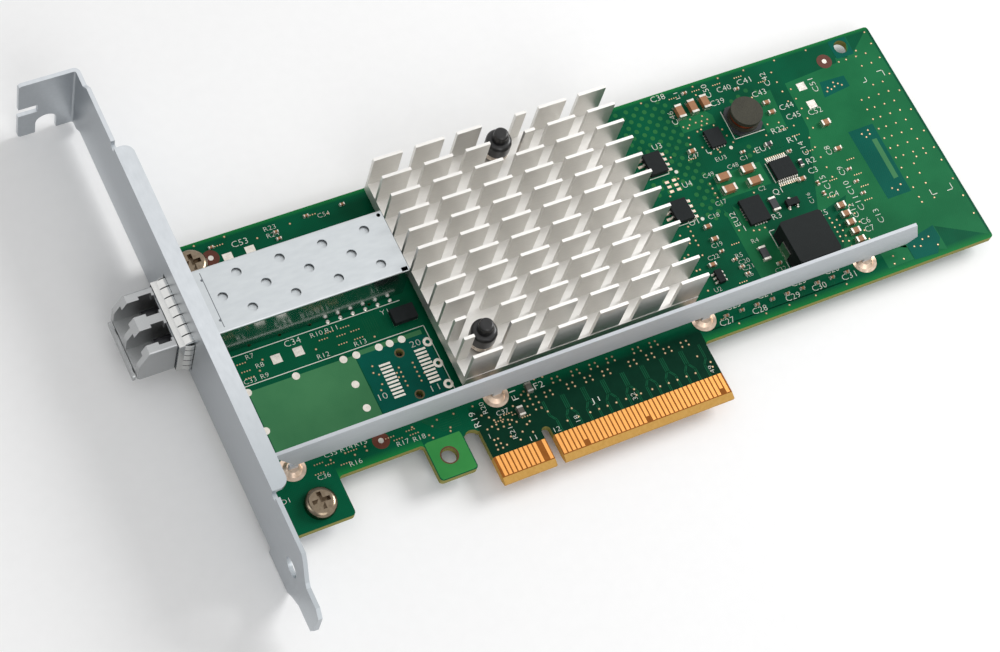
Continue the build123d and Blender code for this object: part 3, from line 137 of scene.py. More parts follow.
class Finish:
    """A program of nodes: that of a new material, or of the owner that is given."""

    def __init__(self, name, owner=None):
        self.owner = owner or bpy.data.materials.new(name)
        self.owner.use_nodes = True
        self.tree = self.owner.node_tree
        self.tree.nodes.clear()

    def node(self, kind, settings=None, values=None, out=0):
        """Adds a node, sets its settings and inputs, and returns one of its outputs."""
        made = self.tree.nodes.new("ShaderNode" + kind)
        for name, value in (settings or {}).items():
            setattr(made, name, value)
        for name, value in (values or {}).items():
            if isinstance(value, Wire):
                self.tree.links.new(value.socket, made.inputs[name])
            else:
                made.inputs[name].default_value = value
        return Wire(self, made.outputs[out])

    def fade(self, value, start, end):
        """1 at start, falling evenly to 0 at end."""
        return self.node("MapRange", None, {0: value, 1: start, 2: end, 3: 1.0, 4: 0.0})

    def mix(self, mask, under, over):
        """The colour under where mask is 0, over where it is 1."""
        return self.node("Mix", {"data_type": "RGBA"}, {0: mask, 6: under, 7: over}, 2)

    def place(self):
        """Position in millimetres, as a vector and as its three numbers."""
        metres = self.node("TexCoord", out=3)
        where = self.node("VectorMath", {"operation": "SCALE"}, {0: metres, 3: 1000.0})
        parts = [self.node("SeparateXYZ", None, {0: where}, i) for i in range(3)]
        return where, parts

    def facing_up(self):
        """1 on a surface that faces up, 0 on an upright one, -1 on one that faces down."""
        normal = self.node("NewGeometry", out=1)
        return self.node("SeparateXYZ", None, {0: normal}, 2)

    def noise(self, where, scale, detail=3.0, stretch=None):
        """Soft noise from 0 to 1, drawn out along an axis whose stretch is below 1."""
        if stretch:
            where = self.node("VectorMath", {"operation": "MULTIPLY"}, {0: where, 1: stretch})
        values = {"Vector": where, "Scale": scale, "Detail": detail}
        return self.node("TexNoise", {"noise_dimensions": "3D"}, values)

    def close(self, color, rough, metal=0.0, relief=None, depth=0.02, shine=0.5):
        """Ends the program in a surface; relief, 0 to 1, is a height of depth millimetres."""
        values = {"Base Color": color, "Roughness": rough, "Metallic": metal}
        if relief is not None:
            bump = {"Height": relief, "Distance": depth * 0.001, "Strength": 1.0}
            values["Normal"] = self.node("Bump", None, bump)
        values["Specular IOR Level"] = shine
        self.end(self.node("BsdfPrincipled", None, values))
        return self.owner

    def end(self, surface, kind="OutputMaterial"):
        """Wires a surface to the program's output."""
        output = self.tree.nodes.new("ShaderNode" + kind)
        self.tree.links.new(surface.socket, output.inputs["Surface"])


print("shader helpers ready")

# %% [markdown]
# ## Floor, backdrop and light
# A pale floor right under the card keeps its shadow; what the camera and the metal see of the
# world is plain white. A wide soft lamp stands over the far end of the card, as the shadows that
# fall towards the bracket show, and a weaker one fills the near side.

# %% Stage and lamps
CARD_MIDDLE = (0.02, 0.04, 0.0)
FLOOR_DROP, FLOOR_REACH = 0.0003, 4.0
ROOM_LIGHT = 0.58


def lamp(name, place, size, watts):
    """A round lamp that looks at the card's middle."""
    data = bpy.data.lights.new(name, "AREA")
    data.shape, data.size, data.energy = "DISK", size, watts
    made = bpy.data.objects.new(name, data)
    made.location = place
    aim = Vector(CARD_MIDDLE) - Vector(place)
    made.rotation_euler = aim.to_track_quat("-Z", "Y").to_euler()
    bpy.context.scene.collection.objects.link(made)


lamp("key", place=(0.66, 0.10, 0.46), size=0.4, watts=4.2)
lamp("fill", place=(-0.10, -0.65, 0.55), size=0.6, watts=1.8)

world = bpy.data.worlds.new("studio")
bpy.context.scene.world = world
room = Finish("studio", world)
rays = [room.node("LightPath", out=name) for name in
        ("Is Camera Ray", "Is Glossy Ray", "Is Transmission Ray")]
seen = room.node("Math", {"operation": "MAXIMUM"}, {0: rays[0] + rays[1], 1: rays[2]})
strength = ROOM_LIGHT + seen * (1 - ROOM_LIGHT)
backdrop = room.node("Background", None, {"Color": (1, 1, 1, 1), "Strength": strength})
room.end(backdrop, "OutputWorld")

floor_finish = Finish("floor_paper")
where, _ = floor_finish.place()
grain = floor_finish.noise(where, 0.4)
tone = floor_finish.mix(grain, (0.90, 0.90, 0.90, 1), (0.93, 0.93, 0.93, 1))
paper = floor_finish.close(tone, 0.9, shine=0.1)
sheet = bmesh.new()
bmesh.ops.create_grid(sheet, x_segments=1, y_segments=1, size=FLOOR_REACH)
bmesh.ops.translate(sheet, vec=(0, 0, cad_low.z - FLOOR_DROP), verts=sheet.verts)
floor_mesh = bpy.data.meshes.new("floor")
sheet.to_mesh(floor_mesh)
sheet.free()
floor_mesh.materials.append(paper)
floor = bpy.data.objects.new("floor", floor_mesh)
bpy.context.scene.collection.objects.link(floor)
floor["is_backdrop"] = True
print("floor at z", round(1000 * (cad_low.z - FLOOR_DROP), 2), "mm")

# %% [markdown]
# ## Green solder mask
# The board is glass cloth in resin, with copper under a thin green lacquer. Where copper lies
# under the lacquer it looks lighter, and bare resin looks deep green. The side faces are sawn
# laminate, and round the contacts the lacquer is left off, so the brown resin shows. The copper
# stops short of the board's edges, so light gets into the resin there and the green brightens
# softly. One function writes all these greens, so that they share the cloth's faint weave.

# %% Board finishes
WEAVE_STEP = 0.55
LACQUER_ROUGH, LACQUER_SHINE, LACQUER_DEPTH = 0.34, 0.05, 0.012
BOARD_LOW_Y, BOARD_TOP_Y = 13.05, 68.9
TONGUE_LEFT, TONGUE_RIGHT, TONGUE_BARE_Y = -12.5, 39.4, 5.8
STRAIGHT_LEFT, STRAIGHT_RIGHT = -41.8, -23.9
LOW_EDGE_GLOW, TOP_EDGE_GLOW = 1.85, 1.0
DARK_ZONE_Y, DARK_ZONE_END_Y = 15.5, 17.5


def lacquer(name, color, darker):
    """A green lacquer between two tones, with the cloth's weave just showing."""
    made = Finish(name)
    where, (x, y, _) = made.place()
    cloud = made.noise(where, 0.11, 4.0)
    steep = made.node("MapRange", None, {0: cloud, 1: 0.35, 2: 0.65})
    tone = made.mix(steep, darker, color)
    turn = 2 * math.pi / WEAVE_STEP
    weave = (x * turn).sine() * (y * turn).sine()
    tone = made.mix(weave * 0.05 + 0.05, tone, paint(30, 120, 76))
    relief = weave * 0.15 + made.noise(where, 3.0)
    return made, tone, relief


def board_finish():
    """The board itself: lacquer, sawn sides, and the tongue's bare resin and slope."""
    made, tone, relief = lacquer("board_lacquer", paint(0, 82, 55), paint(0, 70, 46))
    where, (x, y, z) = made.place()
    level = made.facing_up().absolute()
    over_tongue = (x > TONGUE_LEFT) * (x < TONGUE_RIGHT)
    dark_zone = made.fade(y, DARK_ZONE_Y, DARK_ZONE_END_Y) * over_tongue
    dark_green = made.mix(made.noise(where, 0.5), paint(0, 38, 24), paint(4, 50, 34))
    tone = made.mix(dark_zone, tone, dark_green)
    straight = (x > TONGUE_RIGHT) + (x > STRAIGHT_LEFT) * (x < STRAIGHT_RIGHT)
    # Painted light: a lighter green is painted along the straight low edge and the top edge, as the
    # glow of light that gets into the resin there.
    low_edge = made.fade(y, BOARD_LOW_Y, BOARD_LOW_Y + LOW_EDGE_GLOW) * straight
    top_edge = made.fade(BOARD_TOP_Y - y, 0.0, TOP_EDGE_GLOW)
    tone = made.mix((low_edge + top_edge) * 0.8, tone, paint(30, 124, 58))
    sawn = level < 0.5
    tongue = (y < TONGUE_BARE_Y) * over_tongue
    sloped = (level < 0.98) * tongue
    resin = made.mix(made.noise(where, 0.9), paint(126, 72, 26), paint(160, 98, 44))
    slope = made.mix(made.noise(where, 1.6), paint(178, 134, 66), paint(205, 162, 92))
    layers = ((z * 4.0).fraction() > 0.72) * 0.55
    cut = made.mix(layers, paint(122, 128, 70), paint(84, 66, 34))
    cut = made.mix(made.noise(where, 2.5, 5.0), cut, paint(150, 140, 84))
    tone = made.mix(tongue, tone, resin)
    tone = made.mix(sawn, tone, cut)
    tone = made.mix(sloped, tone, slope)
    dull = made.node("Math", {"operation": "MAXIMUM"}, {0: sawn, 1: tongue})
    return made.close(tone, LACQUER_ROUGH + dull * 0.4, relief=relief, depth=LACQUER_DEPTH,
                      shine=LACQUER_SHINE)


def plain_lacquer(name, color, darker):
    """The lacquer of a flat field."""
    made, tone, relief = lacquer(name, color, darker)
    return made.close(tone, LACQUER_ROUGH, relief=relief, depth=LACQUER_DEPTH, shine=LACQUER_SHINE)


finishes = {"solder_mask_board": board_finish()}
over_copper = plain_lacquer("lacquer_over_copper", paint(29, 106, 65), paint(22, 96, 58))
over_margin = plain_lacquer("lacquer_margin", paint(60, 138, 70), paint(50, 126, 62))
over_port = plain_lacquer("lacquer_port", paint(70, 126, 84), paint(62, 118, 78))
over_bare = plain_lacquer("lacquer_bare", paint(2, 86, 74), paint(0, 78, 67))
over_dot = plain_lacquer("lacquer_dot", paint(44, 108, 58), paint(34, 98, 56))
over_trace = plain_lacquer("lacquer_trace", paint(20, 84, 56), paint(14, 74, 48))
print("materials so far:", len(bpy.data.materials))

# %% [markdown]
# ## Metals
# The metals differ in base tone, roughness and grain. Sheet steel is rolled, so its grain is
# stretched; the heat sink is milled; cast metal is speckled; solder is smooth and lumpy. In a
# white room a metal shows about its base tone, so the tones are those of the real thing; only the
# bracket is painted in two tones, a painted reflection on its lip and painted shade on its
# upright faces.

# %% Metal finishes
def metal(name, light, dark, rough, stretch, scale, depth=0.004, spread=0.10, metallic=1.0):
    """A metal whose grain is noise stretched along its rolling or milling direction."""
    made = Finish(name)
    where, _ = made.place()
    grain = made.noise(where, scale, 5.0, stretch)
    cloud = made.noise(where, 0.09, 3.0)
    tone = made.mix(grain, dark, light)
    tone = made.mix(cloud * 0.35, tone, dark)
    gloss = rough + (grain - 0.5) * spread + (cloud - 0.5) * 0.06
    return made.close(tone, gloss, metallic, grain, depth)


def bracket_metal():
    """Plated sheet in two tones by facing: a painted reflection of the bright ceiling on its lip,
    painted shade of the dimmer room on its upright faces.
    """
    made = Finish("bracket_sheet")
    where, (_, y, _) = made.place()
    grain = made.noise(where, 1.3, 5.0, (1.0, 0.35, 1.0))
    # Painted light: the lip, which faces up, is painted lighter as a reflection, and darker towards
    # its low end below y 36 mm.
    lit_lip = made.mix(grain, paint(200, 205, 209), paint(218, 222, 226))
    lit_lip = made.mix(made.fade(y, 9.0, 36.0), lit_lip, paint(182, 188, 192))
    # Painted shade: the upright faces get a darker copy of the same plated tone.
    shaded_wall = made.mix(grain, paint(172, 177, 181), paint(188, 192, 196))
    shaded_wall = made.mix(made.fade(y, -9.0, -4.0), shaded_wall, paint(173, 178, 182))
    # Facing picks the painted tone: upright faces take the shaded tone, the rest the lit one.
    tone = made.mix(made.facing_up().absolute() < 0.5, lit_lip, shaded_wall)
    return made.close(tone, 0.30 + grain * 0.1, 1.0, grain, 0.006)


def cage_metal():
    """Bright tinned sheet: satin on its rolled top, nearly a mirror on the drawn sides."""
    made = Finish("cage_sheet")
    where, _ = made.place()
    top = made.facing_up() > 0.7
    grain = made.noise(where, 1.2, 5.0, (0.3, 1.0, 1.0))
    tone = made.mix(grain, paint(190, 195, 198), paint(206, 210, 212))
    return made.close(tone, 0.16 + top * 0.22 + grain * 0.05, 1.0, grain, 0.006)


def solder_metal(name, light, dark, rough):
    """Frozen solder: smooth lumps, a little dull where the flux dried."""
    made = Finish(name)
    where, _ = made.place()
    lump = made.noise(where, 1.1, 2.0)
    tone = made.mix(lump, dark, light)
    return made.close(tone, rough + lump * 0.15, 1.0, lump, 0.05)


finishes.update({
    "bracket_steel": bracket_metal(),
    "stiffener_steel": metal("stiffener_strip", paint(198, 202, 206), paint(176, 180, 185), 0.6,
                             (0.12, 1.0, 1.0), 3.0, 0.008, metallic=0.35),
    "screw_nickel": metal("screw_plate", paint(158, 144, 126), paint(104, 90, 72), 0.2,
                          (1.0, 1.0, 1.0), 1.4, 0.006),
    "cage_steel": cage_metal(),
    "spring_steel": metal("spring_strip", paint(232, 232, 230), paint(206, 206, 204), 0.2,
                          (1.0, 0.4, 1.0), 1.5),
    "module_casting": metal("cast_housing", paint(196, 197, 197), paint(166, 168, 169), 0.42,
                            (1.0, 1.0, 1.0), 4.5, 0.02, 0.2),
    "heatsink_aluminium": metal("milled_aluminium", paint(236, 234, 230), paint(220, 218, 214),
                                0.45, (0.25, 1.0, 1.0), 2.2, 0.006),
    "spring_wire": metal("drawn_wire", paint(206, 196, 184), paint(168, 156, 144), 0.22,
                         (1.0, 1.0, 0.4), 3.0),
    "chip_lid": metal("chip_lid_plate", paint(176, 178, 182), paint(150, 152, 156), 0.35,
                      (1.0, 1.0, 1.0), 2.0),
    "contact_gold": metal("gold_plate", paint(244, 178, 104), paint(228, 158, 84), 0.34,
                          (1.0, 0.3, 1.0), 2.5, 0.005),
    "tinned_metal": solder_metal("tinned_ends", paint(226, 222, 214), paint(186, 180, 170), 0.26),
    "solder": solder_metal("frozen_solder", paint(236, 232, 224), paint(200, 192, 180), 0.2),
    "coil_copper": metal("enamelled_copper", paint(112, 54, 30), paint(70, 32, 18), 0.3,
                         (1.0, 1.0, 4.0), 2.0),
})
pale_solder = solder_metal("pad_solder", paint(232, 210, 190), paint(206, 180, 158), 0.3)
via_tin = solder_metal("via_tin", paint(214, 186, 150), paint(184, 154, 120), 0.35)
print("metals:", len(finishes))

# %% [markdown]
# ## Plastics, ceramics and the rest
# Moulded epoxy is charcoal with a fine sand-like skin. Chip capacitors are fired ceramic, tan with
# a warm mottle, and ferrite is a speckled dark grey. Each is colour noise, a roughness that
# follows it, and a bump no deeper than a few hundredths of a millimetre.

# %% Non-metal finishes
def skin(name, light, dark, rough, scale, depth=0.02, shine=0.4):
    """A moulded, fired or pressed surface with a fine mottle."""
    made = Finish(name)
    where, _ = made.place()
    fine = made.noise(where, scale, 5.0)
    cloud = made.noise(where, scale * 0.14, 2.0)
    tone = made.mix(fine * 0.6 + cloud * 0.4, dark, light)
    return made.close(tone, rough + (fine - 0.5) * 0.15, 0.0, fine, depth, shine)


finishes.update({
    "chip_mould": skin("moulded_epoxy", paint(34, 38, 39), paint(20, 23, 24), 0.6, 6.0, 0.03, 0.12),
    "capacitor_ceramic": skin("fired_ceramic", paint(172, 122, 84), paint(132, 88, 54), 0.5, 1.4),
    "bead_ferrite": skin("sintered_ferrite", paint(104, 100, 90), paint(56, 54, 48), 0.6, 2.2,
                         0.05),
    "resistor_glass": skin("glazed_film", paint(64, 66, 70), paint(34, 36, 40), 0.25, 1.0, 0.01),
    "pin_plastic": skin("black_nylon", paint(30, 30, 31), paint(12, 12, 13), 0.32, 0.8, 0.02, 0.5),
    "socket_plastic": skin("socket_moulding", paint(38, 38, 40), paint(20, 20, 22), 0.5, 1.5),
    "barrel_plastic": skin("barrel_moulding", paint(66, 66, 70), paint(34, 34, 38), 0.3, 1.2),
    "chip_substrate": skin("substrate_laminate", paint(22, 96, 60), paint(12, 74, 46), 0.4, 0.8),
    "thermal_pad": skin("filled_pad", paint(150, 152, 158), paint(128, 130, 136), 0.8, 1.2),
})
legend_ink = skin("legend_ink", paint(228, 228, 218), paint(200, 202, 190), 0.6, 1.6, 0.02, 0.2)
brown_ring = skin("bare_resin_ring", paint(98, 46, 26), paint(70, 30, 16), 0.5, 1.2, 0.02, 0.3)
via_halo = skin("via_halo", paint(120, 92, 62), paint(84, 76, 46), 0.45, 1.8, 0.02, 0.3)
print("finishes:", len(finishes))

# %% [markdown]
# ## Give the frame's own parts their finishes
# Each solid came with a named slot. The finish of that name goes into the slot, and the mesh is
# left alone. Three parts are told apart from others of their slot afterwards.

# %% Dress the frame
for name, thing in nodes.items():
    for slot in thing.material_slots:
        slot.material = finishes[slot.material.name.split(".")[0]]
nodes["power_choke_body"].material_slots[0].material = skin(
    "choke_moulding", paint(34, 38, 38), paint(22, 26, 26), 0.6, 5.0, 0.03, 0.12)
nodes["drum_inductor_core"].material_slots[0].material = skin(
    "drum_ferrite", paint(74, 72, 60), paint(34, 34, 29), 0.6, 2.6, 0.05, 0.2)
nodes["stiffener_solder"].material_slots[0].material = pale_solder
print("dressed", len(nodes), "nodes")

# %% [markdown]
# ## Working in millimetres
# New pieces are drawn as a bmesh in millimetres, then scaled to metres in the mesh itself, so that
# every object stays at the origin, unturned and unscaled, as the frame's parts are.

# %% Piece helpers
MM = 0.001
SAME_PLACE, STRAIGHT_ON = 1e-6, 0.001


def finish_piece(name, bm, material, body="card"):
    """Turns a bmesh in millimetres into a piece that rides on a body."""
    bmesh.ops.scale(bm, vec=(MM, MM, MM), verts=bm.verts)
    mesh = bpy.data.meshes.new(name)
    bm.to_mesh(mesh)
    bm.free()
    mesh.materials.append(material)
    made = bpy.data.objects.new(name, mesh)
    bpy.context.scene.collection.objects.link(made)
    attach(made, body)
    print(f"{name}: {len(mesh.polygons)} faces")


def slab(bm, outline, low, high):
    """A flat plate of any outline between two heights."""
    face = bmesh.ops.contextual_create(bm, geom=[bm.verts.new((x, y, low)) for x, y in outline])
    lifted = bmesh.ops.extrude_face_region(bm, geom=face["faces"])
    tops = [v for v in lifted["geom"] if isinstance(v, bmesh.types.BMVert)]
    bmesh.ops.translate(bm, vec=(0, 0, high - low), verts=tops)


def bar(bm, x0, x1, y0, y1, low, high):
    """A small box between two corners."""
    middle = Matrix.Translation(((x0 + x1) / 2, (y0 + y1) / 2, (low + high) / 2))
    size = Matrix.Diagonal((x1 - x0, y1 - y0, high - low, 1))
    return bmesh.ops.create_cube(bm, size=1.0, matrix=middle @ size)["verts"]


def disc(bm, x, y, radius, low, high, sides=10, top=None):
    """A low round plate, or a cone when its top radius differs."""
    middle = Matrix.Translation((x, y, (low + high) / 2))
    bmesh.ops.create_cone(bm, cap_ends=True, segments=sides, radius1=radius,
                          radius2=radius if top is None else top, depth=high - low, matrix=middle)


def ring(bm, x, y, outer, inner, low, high, sides=24):
    """A flat ring: a small upright rectangle spun once round the middle."""
    before = set(bm.faces)
    section = ((inner, low), (outer, low), (outer, high), (inner, high))
    corners = [bm.verts.new((x + reach, y, level)) for reach, level in section]
    edges = [bm.edges.new(pair) for pair in zip(corners, corners[1:] + corners[:1])]
    bmesh.ops.spin(bm, geom=corners + edges, cent=(x, y, 0), axis=(0, 0, 1), angle=2 * math.pi,
                   steps=sides, use_merge=True)
    bmesh.ops.recalc_face_normals(bm, faces=[face for face in bm.faces if face not in before])


def holed_plate(bm, x, y, radius, x0, x1, y0, y1, low, high, sides=48):
    """A plate with a round hole: one circle stays, one is pushed out to the sides, and a band
    of faces bridges them."""
    before = set(bm.faces)
    middle = Matrix.Translation((x, y, low))
    hole = bmesh.ops.create_circle(bm, radius=radius, segments=sides, matrix=middle)["verts"]
    rim = bmesh.ops.create_circle(bm, radius=2 * radius, segments=sides, matrix=middle)["verts"]
    for vert in rim:
        dx, dy = vert.co.x - x, vert.co.y - y
        across = ((x1 if dx > 0 else x0) - x) / dx if abs(dx) > STRAIGHT_ON else math.inf
        along = ((y1 if dy > 0 else y0) - y) / dy if abs(dy) > STRAIGHT_ON else math.inf
        reach = min(across, along)
        vert.co.x, vert.co.y = x + dx * reach, y + dy * reach
    loops = list(dict.fromkeys(edge for vert in hole + rim for edge in vert.link_edges))
    band = bmesh.ops.bridge_loops(bm, edges=loops)["faces"]
    lifted = bmesh.ops.extrude_face_region(bm, geom=band)
    tops = [v for v in lifted["geom"] if isinstance(v, bmesh.types.BMVert)]
    bmesh.ops.translate(bm, vec=(0, 0, high - low), verts=tops)
    bmesh.ops.recalc_face_normals(bm, faces=[face for face in bm.faces if face not in before])


def strip(bm, points, width, low, high):
    """A printed line or a copper trace through points, one thin bar for each run."""
    for (x0, y0), (x1, y1) in zip(points, points[1:]):
        length = math.hypot(x1 - x0, y1 - y0)
        turn = Matrix.Rotation(math.atan2(y1 - y0, x1 - x0), 4, "Z")
        middle = Matrix.Translation(((x0 + x1) / 2, (y0 + y1) / 2, (low + high) / 2))
        size = Matrix.Diagonal((length + width, width, high - low, 1))
        bmesh.ops.create_cube(bm, size=1.0, matrix=middle @ turn @ size)


def lumps(node):
    """The boxes of a node's separate solids, in millimetres, from a merged copy of its mesh."""
    bm = bmesh.new()
    bm.from_mesh(nodes[node].data)
    bmesh.ops.remove_doubles(bm, verts=bm.verts, dist=SAME_PLACE)
    found, todo = [], set(bm.verts)
    while todo:
        group, front = [], [todo.pop()]
        while front:
            vert = front.pop()
            group.append(vert.co * 1000)
            near = [e.other_vert(vert) for e in vert.link_edges]
            fresh = [v for v in near if v in todo]
            todo.difference_update(fresh)
            front.extend(fresh)
        low = Vector([min(c[i] for c in group) for i in range(3)])
        high = Vector([max(c[i] for c in group) for i in range(3)])
        found.append((low, high))
    bm.free()
    return sorted(found, key=lambda pair: tuple(round(c, 3) for c in pair[0]))


board_low, board_high = (1000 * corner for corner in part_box("circuit_board"))
TOP, UNDER = 0.0, board_low.z
print("board from", round(board_low.x, 1), "to", round(board_high.x, 1), "under", round(UNDER, 2))

# %% [markdown]
# ## Copper areas and bare margins under the lacquer
# Big copper areas show as paler fields with straight borders, and places without copper as bluer
# ones. They could be painted by a texture, but plates a hundredth of a millimetre thick give the
# real soft step in the lacquer and are easy to draw, so each field is an outline.

# %% Fields in the lacquer
FIELD, SECOND_FIELD, THIRD_FIELD = 0.010, 0.016, 0.022
TOOL_HOLE_X, TOOL_HOLE_Y, TOOL_HOLE_R = 102.3, 66.1, 1.65
PEG_X, PEG_YS, PEG_R, PEG_RIM = -20.0, (23.15, 32.65), 0.75, 0.25
RIGHT_FIELD = [
    (84.9, 19.8), (99.3, 19.8), (99.3, 13.9), (110.0, 13.9), (110.0, 68.3), (104.6, 68.3),
    (104.4, 64.0), (102.4, 63.2), (99.6, 64.0), (99.3, 62.8), (85.5, 61.9), (84.9, 50.0),
    (84.6, 33.0), (76.6, 31.0), (76.6, 20.0),
]
COPPER_FIELDS = (
    RIGHT_FIELD,
    [(57.4, 19.6), (64.4, 19.6), (64.4, 32.8), (59.8, 32.8), (59.8, 39.0), (57.6, 39.0)],
    [(58.2, 58.2), (66.2, 58.3), (66.4, 60.2), (65.3, 61.6), (59.9, 62.7), (58.4, 61.2)],
    [(66.2, 41.0), (70.6, 41.0), (70.6, 46.6), (64.6, 46.6), (59.2, 47.2), (58.6, 41.0)],
    [(84.7, 18.0), (91.0, 18.0), (91.0, 14.4), (84.7, 14.3)],
    [(75.8, 52.2), (80.6, 52.4), (81.6, 61.6), (76.2, 61.6)],
)
bm = bmesh.new()
for outline in COPPER_FIELDS:
    slab(bm, outline, TOP, FIELD)
finish_piece("copper_fields", bm, over_copper)

bm = bmesh.new()
slab(bm, [(92.9, 46.4), (99.2, 46.5), (98.9, 29.0), (93.0, 29.0)], FIELD, SECOND_FIELD)
slab(bm, [(92.3, 55.8), (99.2, 56.6), (99.2, 59.4), (93.1, 59.6)], FIELD, SECOND_FIELD)
slab(bm, [(91.2, 14.2), (96.8, 13.8), (99.2, 17.0), (99.1, 20.1), (91.2, 18.6)], TOP, SECOND_FIELD)
holed_plate(bm, TOOL_HOLE_X, TOOL_HOLE_Y, TOOL_HOLE_R, 99.9, 104.4, 63.6, 68.2, TOP, SECOND_FIELD)
for peg_y, low_y, high_y in zip(PEG_YS, (21.9, 27.9), (27.9, 34.9)):
    holed_plate(bm, PEG_X, peg_y, PEG_R + PEG_RIM, -28.4, -13.4, low_y, high_y, TOP, FIELD)
finish_piece("bare_fields", bm, over_bare)
bm = bmesh.new()
for peg_y in PEG_YS:
    ring(bm, PEG_X, peg_y, PEG_R + PEG_RIM, PEG_R, TOP, FIELD)
finish_piece("peg_hole_rims", bm, via_halo)

bm = bmesh.new()
slab(bm, [(96.8, 32.9), (98.0, 33.0), (98.2, 43.0), (97.0, 43.0)], SECOND_FIELD, THIRD_FIELD)
slab(bm, [(-50.9, 20.0), (-28.6, 20.0), (-28.6, 35.3), (-50.9, 35.3)], TOP, FIELD)
slab(bm, [(-28.6, 34.9), (-14.0, 34.9), (-14.0, 35.9), (-28.6, 35.9)], TOP, FIELD)
finish_piece("port_fields", bm, over_port)

# %% [markdown]
# The small hook has no copper at all, so it is one bright field with its hole left open, and the
# drill has bared a brown rim round the hole.

# %% Hook
HOOK_X, HOOK_Y, HOOK_R, HOOK_RIM, HOOK_RIM_HIGH = -20.05, 9.4, 1.62, 0.25, 0.014
bm = bmesh.new()
holed_plate(bm, HOOK_X, HOOK_Y, HOOK_R + HOOK_RIM, -23.7, -16.0, 5.1, 13.3, TOP, FIELD)
finish_piece("hook_field", bm, over_margin)
bm = bmesh.new()
ring(bm, HOOK_X, HOOK_Y, HOOK_R + HOOK_RIM, HOOK_R, TOP, HOOK_RIM_HIGH, 32)
finish_piece("hook_rim", bm, brown_ring)

# %% [markdown]
# Small discs of copper called thieving dots even out the plating in empty places. They lie one
# layer down, so they are only a faint yellow-green through the lacquer.

# %% Buried dots
DOT_STEP, DOT_R, DOT_HIGH, DOT_SIDES, DOT_CLEAR = 2.55, 0.52, 0.008, 12, 1.0
DOT_LEFT, DOT_TOP, DOT_ROW_COUNT, DOT_COLUMN_COUNT = 46.2, 67.0, 24, 10
DOT_AREAS = ((46.0, 58.2, 46.0, 68.0), (53.5, 58.0, 36.0, 46.0))
LONE_DOTS = ((74.0, 62.4), (76.3, 63.2), (72.0, 61.8), (70.2, 50.6), (69.4, 48.6), (78.4, 62.2))


def clear_of(x, y, gap, boxes):
    """Whether a point is further than gap from all the boxes."""
    return not any(low.x - gap < x < high.x + gap and low.y - gap < y < high.y + gap
                   for low, high in boxes)


NOT_ON_TOP = ("back_capacitor_bodies", "cage_base", "host_connector_body", "power_choke_body")
top_boxes = [pair for name in nodes if name.endswith(("_bodies", "_body", "_base"))
             and name not in NOT_ON_TOP for pair in lumps(name)]
bm = bmesh.new()
for row in range(DOT_ROW_COUNT):
    for column in range(DOT_COLUMN_COUNT):
        x = DOT_LEFT + DOT_STEP / 2 * column
        y = DOT_TOP - DOT_STEP / 2 * row
        inside = any(x0 < x < x1 and y0 < y < y1 for x0, x1, y0, y1 in DOT_AREAS)
        if inside and (row + column) % 2 == 0 and clear_of(x, y, DOT_CLEAR, top_boxes):
            disc(bm, x, y, DOT_R, TOP, DOT_HIGH, DOT_SIDES)
for x, y in LONE_DOTS:
    disc(bm, x, y, DOT_R, TOP, DOT_HIGH, DOT_SIDES)
finish_piece("buried_dots", bm, over_dot)

# %% [markdown]
# ## Vias
# A via is a plated hole that joins the layers. From here it is a bright dot of tin in a brown
# ring. Rows and four-packs are loops, because that is how they are laid out; the loose ones are
# listed by place. The same holes come out on the back, so the back gets the same list.

# %% Via places
places = []
for y in (67.7, 64.6, 60.8, 56.4, 51.9, 46.8, 41.1, 36.7, 33.4, 28.5, 24.1, 19.5):
    places.append((109.4, y))
for y in (62.8, 52.55, 50.0, 47.45, 44.9, 42.4, 39.8, 37.3):
    places += [(x, y) for x in (99.9, 101.8, 104.35, 106.9)]
for y in (60.2, 55.1, 36.0):
    places += [(104.4, y), (106.9, y)]
for y in (34.7, 32.2, 29.6, 25.8):
    places += [(103.0, y), (99.8, y)]
for y in (57.7, 55.1, 52.5, 50.0, 48.1, 45.6, 43.0, 40.4, 37.9):
    places.append((84.0 if y < 49 else 86.0, y))
for y in (65.4, 62.8, 60.3, 57.7):
    places.append((84.0, y))
for i in range(6):
    places.append((78.4, 29.3 - 1.16 * i))
    places.append((79.7, 28.4 - 1.33 * i))
    places.append((84.2, 30.6 - 2.15 * i))
for x in (6.0, 10.4, 14.5, 18.4, 24.4, 28.3):
    places += [(x, 16.9), (x + 1.25, 16.9), (x - 0.1, 16.0), (x + 1.45, 16.0)]
for x in (3.3, 8.3, 12.3, 16.3, 22.3, 26.4, 30.4, 34.4):
    places += [(x, 14.7), (x + 1.25, 14.7), (x - 0.1, 13.75), (x + 1.4, 13.75)]
for x in (4.9, 7.4, 10.0, 12.0, 13.9, 15.9, 18.1, 20.5, 21.5, 24.1, 25.9, 27.9, 29.9, 32.0, 34.1,
          38.1):
    places.append((x, 7.6))
for i in range(5):
    places += [(48.5, 37.9 - 1.15 * i), (-18.45, 29.8 - 1.03 * i), (-21.45, 29.8 - 1.03 * i)]
